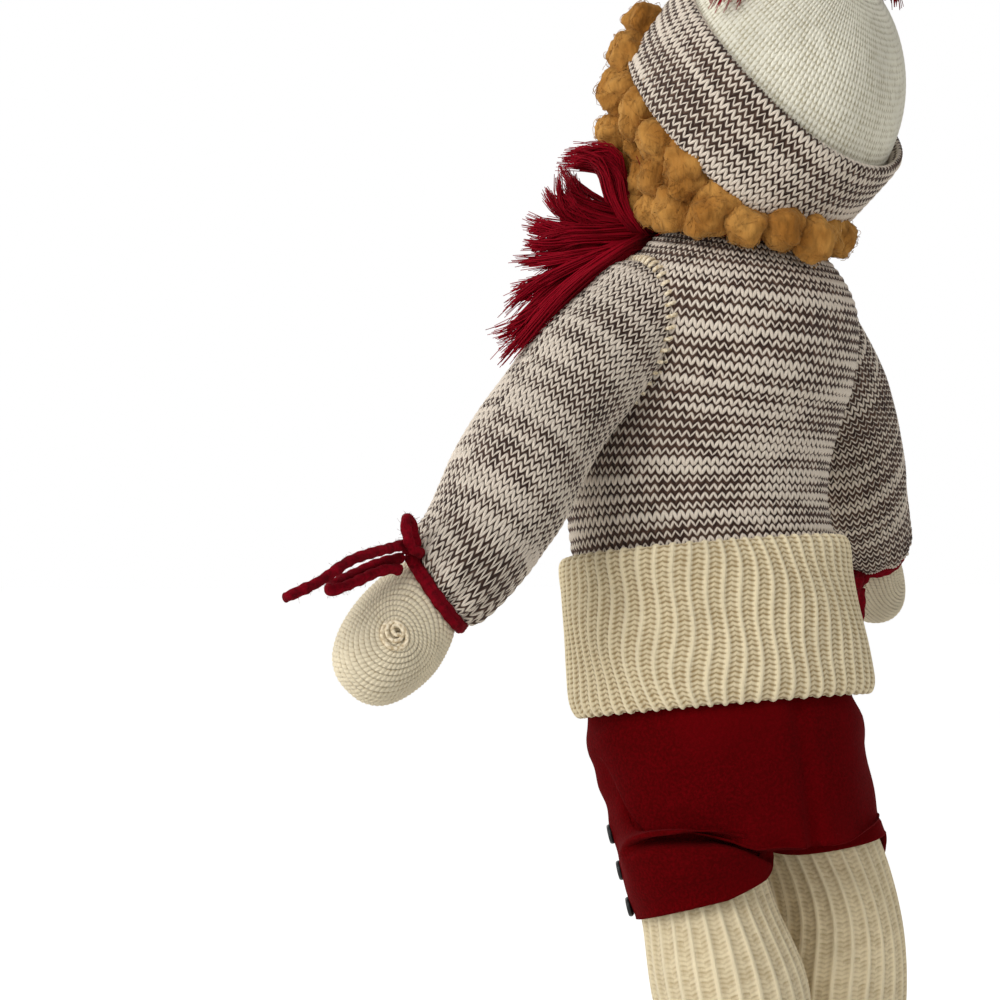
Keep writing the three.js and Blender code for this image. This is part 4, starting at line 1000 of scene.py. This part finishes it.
# Hat: a cream crown and a turned-up brim of marl
CROWN_R, CROWN_TOP = 53.6, 67
CROWN_WALES, CROWN_COURSES = 156, 42
CROWN_LOW, CROWN_SWEEP = -0.16, 1.67
CROWN_FLOP = np.array([8.6, -7, 0.4])  # how far the soft crown's top falls forward
BRIM_WALES = 112
BRIM_SECTION = [(54.2, -15), (55.4, -17), (57, -16.6), (58.2, -13), (58.4, 0), (58, 14), (57.4, 20),
                (56.6, 22.2), (55.2, 21), (54.6, 12), (54.3, 0), (54.2, -15)]
brim_line = Outline(spline(BRIM_SECTION))
brim_courses = int(brim_line.length / COURSE)


def crown_form(turn, course):
    rise = CROWN_LOW + CROWN_SWEEP * course / CROWN_COURSES
    up = np.maximum(np.sin(rise), 0)
    flat = around(CROWN_R * (1 - up**2.4) ** (1 / 2.1), turn + math.pi / 2, CROWN_TOP * np.sin(rise))
    flop = CROWN_FLOP * (up**1.5)[..., None]
    return placed(flat * (1 + 0.012 * lumps(flat, 60, 51))[..., None] + flop, "hat")


def brim_form(turn, course):
    radius, height = brim_line.at(np.mod(course, brim_courses) * brim_line.length / brim_courses)
    angle = turn - math.pi / 2
    snug = 2.4 * bell(angle % math.tau, 2.65, 0.8)
    radius = radius - snug + 0.8 * np.sin(2 * angle + 4.1) * smooth(height, -5, 22) + 0.5 * np.sin(5 * angle)
    return placed(around(radius, angle, height + 0.8 * np.sin(3 * angle + 0.7)), "hat")


points, uv = knit(crown_form, CROWN_WALES, CROWN_COURSES, 0.6, per_course=4, slope=0.5, columns=True)
add("hat_crown_knit", grid_mesh(points, uv), CREAM_CROWN, "head", ("hat_crown",))
points, uv = knit(brim_form, BRIM_WALES, brim_courses, STITCH_DEPTH, fade_over=1e-6)
add("hat_brim_knit", grid_mesh(points[:-1], uv, "joined"), MARL["brim"], "head",
    ("hat_brim",))

# Hair: bobbles of wool roving in rows under the brim, and hanging locks beside the face
BALL_ROWS, BALL_SIDES = 22, 32
FIBRES, FIBRE_POINTS, FIBRE_R = 110, 6, 0.11
# Each hanging lock's turn, reach, size and which of the rises it starts at
LOCKS = ((92, 49, 8.6, 2), (117, 59.5, 9.2, 0), (-104, 57, 9, 1), (-124, 57, 9, 1))
LOCK_RISES = (27, 12, -3, -18, -33, -46)
# How high the collar and shoulders are, by the distance from the torso's axis
COLLAR = ([36, 38, 41, 46, 51, 56, 62], [226.5, 222, 219, 214, 207, 199, 180])
COLLAR_DEPTH = 0.94
draw = np.random.default_rng(61)
bobbles = []


def bobble(frame_name, turn, reach, height, radius):
    turn = math.radians(turn + draw.uniform(-3, 3))
    place = np.array([reach * math.sin(turn), reach * math.cos(turn), height + draw.uniform(-1, 1)])
    bobbles.append((placed(place, frame_name), radius * draw.uniform(0.9, 1.08)))


def ball(rows, sides):
    """Directions all round, and the turn and rise of each."""
    turn, rise = np.meshgrid(np.linspace(0, math.tau, sides + 1), np.linspace(-1.5, 1.5, rows))
    return around(np.cos(rise), turn, np.sin(rise)), turn, rise


def above_collar(points):
    """Hair that would sink into the collar or the shoulders lies on them."""
    reach, height = from_torso(points, COLLAR_DEPTH)
    lift = np.maximum(np.interp(reach, *COLLAR) - height, 0)
    return points + FRAMES["torso"][2] * lift[..., None]


for i in range(18):
    bobble("hat", 20 * i + 10, reach=50, height=-24, radius=9.6)
for i in range(13):
    reach, height = (38, -4.5) if i < 5 else (43, -7.5)
    bobble("head", 19 * i - 100, reach, height, radius=9.3)
for turn in (70, 88, 106):
    for height in (4, 18):
        bobble("head", turn, reach=45, height=height, radius=9)
for turn, reach, size, first in LOCKS:
    for rise in LOCK_RISES[first:]:
        b = math.radians(rise)
        bobble("head", turn, reach * math.cos(b * 0.8), reach * math.sin(b) + HEAD_RISE, size)
hair_points, hair_fibres = [], []
for number, (centre, radius) in enumerate(bobbles):
    spin = np.linalg.qr(draw.normal(size=(3, 3)))[0]
    spin[:, 0] *= np.sign(np.linalg.det(spin))
    stretch = draw.uniform(0.82, 1.22, 3)

    def skin(way):
        size = radius * (1 + 0.15 * lumps(way * 10, 11, number) + 0.05 * lumps(way * 10, 3.4, 99 + number))
        return centre + (way * size[..., None] * stretch) @ spin.T

    points = skin(ball(BALL_ROWS, BALL_SIDES)[0])
    hair_points.append(np.vstack([points[:, :-1].reshape(-1, 3), points[0].mean(0), points[-1].mean(0)]))
    way = unit(draw.normal(size=(FIBRES, 1, 3)))
    bend = np.cross(way, unit(draw.normal(size=(FIBRES, 1, 3)))) * np.linspace(0, 1, FIBRE_POINTS)[:, None]
    bend = bend * draw.uniform(0.4, 0.9, (FIBRES, 1, 1))
    lift = np.sin(np.linspace(0, math.pi * 0.8, FIBRE_POINTS))[:, None] * draw.uniform(0.2, 1, (FIBRES, 1, 1))
    hair_fibres.append(centre + (skin(unit(way + bend)) - centre) * (1 + 0.14 * lift))
quads, *caps = grid_faces(BALL_ROWS, BALL_SIDES)
starts = np.arange(len(bobbles))[:, None, None] * len(hair_points[0])
hair_faces = [(f + starts).reshape(-1, f.shape[1]) for f in (quads, np.concatenate(caps))]
mesh = make_mesh(above_collar(np.vstack(hair_points)), hair_faces)
add("hair_roving", mesh, ROVING, "head", ("hair",))
add("hair_fuzz", tubes(above_collar(np.concatenate(hair_fibres)), FIBRE_R), ROVING, "head")

# Floss tassels: many fine threads in clumps; routes are (left, up, nearer) in the photograph, from the knot
NECK_LOBES = [
    [(6, 9, 2), (11, 19, 3), (13, 27, 4), (19, 32, 4), (29, 34, 3), (37, 35, 2)],
    [(8, 8, 3), (13, 17, 4), (15, 25, 4), (20, 31, 4), (30, 33, 3)],
    [(11, 6, 3), (21, 9, 5), (29, 13, 6), (34, 20, 5), (35, 28, 4)],
    [(12, 5, 4), (24, 7, 6), (33, 11, 7), (38, 17, 6), (40, 22, 5)],
    [(17, 1, 4), (34, 3, 8), (46, 4, 9), (54, 7, 9)],
    [(16, -2, 6), (32, -3, 12), (45, -4, 15), (54, -3, 16)],
    [(16, -3, 6), (30, -6, 12), (42, -9, 15), (50, -10, 16)],
    [(18, -7, 10), (34, -14, 18), (48, -20, 24), (58, -25, 27)],
    [(15, -9, 12), (30, -19, 22), (44, -31, 32), (54, -40, 38), (64, -44, 42)],
    [(13, -9, 13), (28, -20, 24), (42, -33, 34), (52, -43, 40), (59, -50, 44)],
]
NECK_THREADS = [
    [(0, 0, 2), (-4, 12, 10), (-6, 22, 14), (-7, 28, 15)],
    [(0, 0, 2), (-8, 4, 12), (-16, 1, 16), (-22, -5, 18), (-23.5, -9, 18)],
    [(0, 0, 2), (-2, 14, 10), (2, 24, 12), (6, 33, 13)],
]
HAT_LOBES = [
    [(12, 8, 2), (32, 3, 10), (50, -5, 20), (58, -17, 26)],
    [(-10, 4, -6), (-15, -3, -10), (-17, -11, -12)],
    [(-2, 12, -12), (-3, 17, -28), (-4, 12, -38)],
]
CLUMPS, THREAD_POINTS = 9, 10
THREAD_R = np.linspace(0.55, 0.16, THREAD_POINTS)  # from the knot to the tip
CLUMP_ASIDE, CLUMP_CURL, THREAD_ASIDE, THREAD_WAVE = 2.9, 3, 0.95, 0.2


def across_photo(route, base):
    left, up, nearer = np.array(route, float).T[:, :, None]
    return base + left * ASIDE + up * UP + nearer * NEARER


def floss(lobes, base, per_clump, seed):
    """Threads in clumps that swell out from a knot along each lobe and fray at its tip."""
    draw = np.random.default_rng(seed)
    paths = []
    for route in lobes:
        line = spline(across_photo([(0, 0, 0), *route], base), 20)
        run = run_along(line)
        for _ in range(CLUMPS):
            aside, curl = draw.normal(size=3) * CLUMP_ASIDE, draw.normal(size=3) * CLUMP_CURL
            reach = draw.uniform(0.74, 1)
            for _ in range(per_clump):
                share = np.linspace(0, 1, THREAD_POINTS) * reach * draw.uniform(0.86, 1.04)
                core = between(share * run[-1], run, line)
                share = share[:, None]
                fan = smooth(share, -0.25, 0.2) * (1 - 0.6 * smooth(share, 0.6, 1))
                own = draw.normal(size=3) * THREAD_ASIDE * (0.6 + 0.5 * share**2)
                wave = np.cumsum(draw.normal(size=(THREAD_POINTS, 3)) * THREAD_WAVE, axis=0)
                paths.append(core + aside * fan + curl * share**3 + own + wave)
    return np.array(paths)


knot = placed(np.array([37.3, -11.8, 218.7]), "torso") - 4 * UP + 2 * NEARER
threads = []
for route in NECK_THREADS:
    line = spline(across_photo(route, knot), 10)
    threads.append(line[np.linspace(0, len(line) - 1, THREAD_POINTS).astype(int)])
paths = np.concatenate([floss(NECK_LOBES, knot, per_clump=40, seed=71), threads])
add("neck_tassel_floss", tubes(paths, THREAD_R), FLOSS, "torso", ("neck_tassel",))
knot = placed(np.array([0, 0, CROWN_TOP + 3.0]) + CROWN_FLOP, "hat")
paths = floss(HAT_LOBES, knot, per_clump=36, seed=72)
add("hat_tassel_floss", tubes(paths, THREAD_R), FLOSS, "head", ("hat_tassel",))

# Yarn ties; the routes of the bows' free yarn start at the knot
YARN_SIDES, PLY, PLY_TURN = 14, 0.1, 1.1
FUZZ_COUNT, FUZZ_POINTS, FUZZ_R = 200, 5, 0.05
TAIL = {"left": [[0, 0, 0], [4, 1, 0.5], [8.7, 3.2, -3.5], [15.8, 5.4, -11.6], [22, 6.5, -22.4],
                 [26.2, 7, -37.8], [32.7, 7, -52.6]],
        "right": [[0, 0, 0], [4, 1, 0.5], [10, 3, -2], [18, 5, -9], [25, 6, -19], [32, 6, -31], [40, 6, -44]]}
LOWER_LOOP = [[0, 0, 0], [4, -0.5, -6], [8.5, -0.3, -13.5], [13, 0.4, -22.5], [16.5, 1.4, -29.5],
              [17.6, 3.4, -32.4], [15.8, 4.6, -29.4], [12, 4.4, -22], [8, 4, -13.2], [4, 3.8, -7],
              [0, 3.6, -3.6]]
UPPER_LOOP = [[0, 0, 0], [4, -0.6, 2], [8.5, -0.4, 3.8], [12.6, 1, 4], [14, 3.4, 2.6], [11.4, 5.6, 0.2],
              [7, 5.8, -1.2], [3, 5.2, -0.8], [0, 4.4, 0]]
KNOT_OUT, KNOT_R, CLEAR, YARN_R = 18.2, 3.7, 3.9, 2.0
BOW_TURN = {"left": 0, "right": -math.radians(140)}
WRIST_TIE_R, WRIST_TIE_TURNS, WRIST_TIE_RISE, WRIST_YARN_R = 16, 2.02, 3.6, 1.9
NECK_TIE_R, NECK_TIE_TURNS, NECK_TIE_HEIGHT, NECK_TIE_RISE, NECK_YARN_R = 33.6, 2, 221.4, 2.4, 1.6


def yarn_tube(line, radius):
    """A plied yarn along a line of points in mm."""
    n1, n2 = (n[0, :, None] for n in sideways(line[None]))
    run = run_along(line)
    turn = math.tau * np.arange(YARN_SIDES) / YARN_SIDES
    ply = 1 + PLY * np.cos(2 * turn[None] - run[:, None] * PLY_TURN) + 0.04 * lumps(line, 6, 5)[:, None]
    ring = n1 * np.cos(turn)[:, None] + n2 * np.sin(turn)[:, None]
    uv = np.stack(np.meshgrid(np.linspace(0, 1, YARN_SIDES + 1), run), -1)
    return grid_mesh(line[:, None] + radius * ply[..., None] * ring, uv)


def fuzz(line, radius, seed):
    """Short fibres that stand off a yarn."""
    draw = np.random.default_rng(seed)
    pick = draw.integers(1, len(line) - 1, FUZZ_COUNT)
    along = unit(np.gradient(line, axis=0))[pick]
    out = unit(np.cross(along, draw.normal(size=(FUZZ_COUNT, 3))))
    lean = along * draw.uniform(-1, 1, (FUZZ_COUNT, 1))
    steps = np.linspace(0, 1, FUZZ_POINTS)[None, :, None]
    reach = draw.uniform(0.4, 1.3, (FUZZ_COUNT, 1, 1))
    bend = draw.normal(size=(FUZZ_COUNT, 1, 3)) * 0.7
    root = line[pick] + out * (radius * 0.85)
    return tubes(root[:, None] + (out + lean)[:, None] * steps * reach + bend * steps**2, FUZZ_R)


for name, side in SIDES.items():
    def on_wrist(points):
        return on_arm(turned(np.array(points, float) * (side, 1, 1), BOW_TURN[name]), name)

    for kind, route, begin, far_end in (
        ("tail", TAIL[name], (KNOT_OUT + CLEAR, 0, -WRIST), "bare"),
        ("lower_loop", LOWER_LOOP, (KNOT_OUT + 4, 0, -WRIST - CLEAR), "object"),
        ("upper_loop", UPPER_LOOP, (KNOT_OUT + 2, 0, -WRIST + CLEAR), "object"),
    ):
        line = on_wrist(spline(np.array(route) + np.array(begin), 8))
        fibres = add(f"{name}_{kind}_fuzz", fuzz(line, YARN_R, 81), YARN, f"{name}_arm")
        cord = add(f"{name}_{kind}_yarn", yarn_tube(line, YARN_R), YARN, f"{name}_arm",
                   (f"{name}_wrist_{kind}",))
    turn = np.linspace(0, math.tau * WRIST_TIE_TURNS, 120)
    ring = on_wrist(around(WRIST_TIE_R, turn, -WRIST - WRIST_YARN_R + WRIST_TIE_RISE * turn / turn[-1]))
    add(f"{name}_wrist_tie_yarn", yarn_tube(ring, WRIST_YARN_R), YARN, f"{name}_arm",
        (f"{name}_wrist_tie",))
    way, turn, rise = ball(16, 24)
    wound = 1 + 0.1 * np.cos(6 * rise + turn) + 0.06 * lumps(way * 4, 3, 82)
    points = on_wrist(way * KNOT_R * wound[..., None] + np.array([KNOT_OUT, 0, -WRIST]))[::side]
    uv = np.stack([turn, rise], -1)[::side]
    add(f"{name}_wrist_knot", grid_mesh(points[:, :-1], uv), YARN, f"{name}_arm")

turn = np.linspace(0, math.tau * NECK_TIE_TURNS, 200)
ring = around(NECK_TIE_R, turn, NECK_TIE_HEIGHT + NECK_TIE_RISE * turn / turn[-1]) * (1, TORSO_DEPTH, 1)
add("neck_tie_yarn", yarn_tube(placed(ring, "torso"), NECK_YARN_R), YARN, "torso", ("neck_tie",))

# Camera: behind the doll and to its left, a little above the hips
CAMERA_PLACE, CAMERA_WAY, CAMERA_LENS = (0.67167, 0.95541, 0.29523), (-0.51642, -0.85602, 0.02322), 100.19


def aimed(name, data, place, way):
    """An object at a place in metres that looks along a way."""
    thing = bpy.data.objects.new(name, data)
    thing.location = place
    thing.rotation_euler = Vector(way).to_track_quat("-Z", "Y").to_euler()
    bpy.context.scene.collection.objects.link(thing)
    return thing


bpy.context.scene.camera = aimed("camera", bpy.data.cameras.new("camera"), CAMERA_PLACE, CAMERA_WAY)
bpy.context.scene.camera.data.lens = CAMERA_LENS
bpy.context.scene.view_settings.view_transform = "Standard"

# Floor and light: the floor and the sky are brighter to the eye than to the doll
FLOOR_GLOW, FLOOR_GLOW_SHARE = 1.4, 0.6
SKY_ON_DOLL, SKY_SEEN = 0.45, 1.0
LIT = Vector((0, 0.03, 0.36))


def seen(tree):
    """1 for rays from the camera, a reflection or through glass, and 0 for light on its way to the doll."""
    path = tree.nodes.new("ShaderNodeLightPath")
    total = path.outputs["Is Camera Ray"]
    for kind in ("Is Glossy Ray", "Is Transmission Ray"):
        either = tree.nodes.new("ShaderNodeMath")
        either.operation = "MAXIMUM"
        tree.links.new(total, either.inputs[0])
        tree.links.new(path.outputs[kind], either.inputs[1])
        total = either.outputs[0]
    return total


white = Shader("floor", roughness=0.9, specular_ior_level=0.5)
white.finish(rgb(236, 234, 230))
glow = white.node("Emission")
glow.inputs["Strength"].default_value = FLOOR_GLOW
mixed = white.node("MixShader")
share = Value(white, seen(white.tree)) * FLOOR_GLOW_SHARE
for socket, output in zip(mixed.inputs, (share.socket, white.surface.outputs[0], glow.outputs[0])):
    white.tree.links.new(output, socket)
white.tree.links.new(mixed.outputs[0], white.tree.nodes["Material Output"].inputs[0])
bpy.ops.mesh.primitive_plane_add(size=60)
floor = bpy.context.object
floor.name = "floor"
floor.data.materials.append(white.material)

world = bpy.data.worlds.new("studio")
bpy.context.scene.world = world
world.use_nodes = True
sky = world.node_tree.nodes["Background"]
sky.inputs["Color"].default_value = (1, 1, 1, 1)
level = world.node_tree.nodes.new("ShaderNodeMapRange")
level.inputs["To Min"].default_value = SKY_ON_DOLL
level.inputs["To Max"].default_value = SKY_SEEN
world.node_tree.links.new(seen(world.node_tree), level.inputs["Value"])
world.node_tree.links.new(level.outputs[0], sky.inputs["Strength"])


def lamp(name, place, size, power):
    data = bpy.data.lights.new(name, "AREA")
    data.size = size
    data.energy = power
    aimed(name, data, place, LIT - Vector(place))


lamp("key", (1.45, 0.6, 1.35), 0.9, 13)
lamp("side", (1.78, -0.14, 0.45), 1.2, 12.5)
lamp("fill", (-0.5, 1.7, 0.8), 1.2, 3.5)
lamp("front", (0.3, -1.6, 1.1), 1.2, 7)
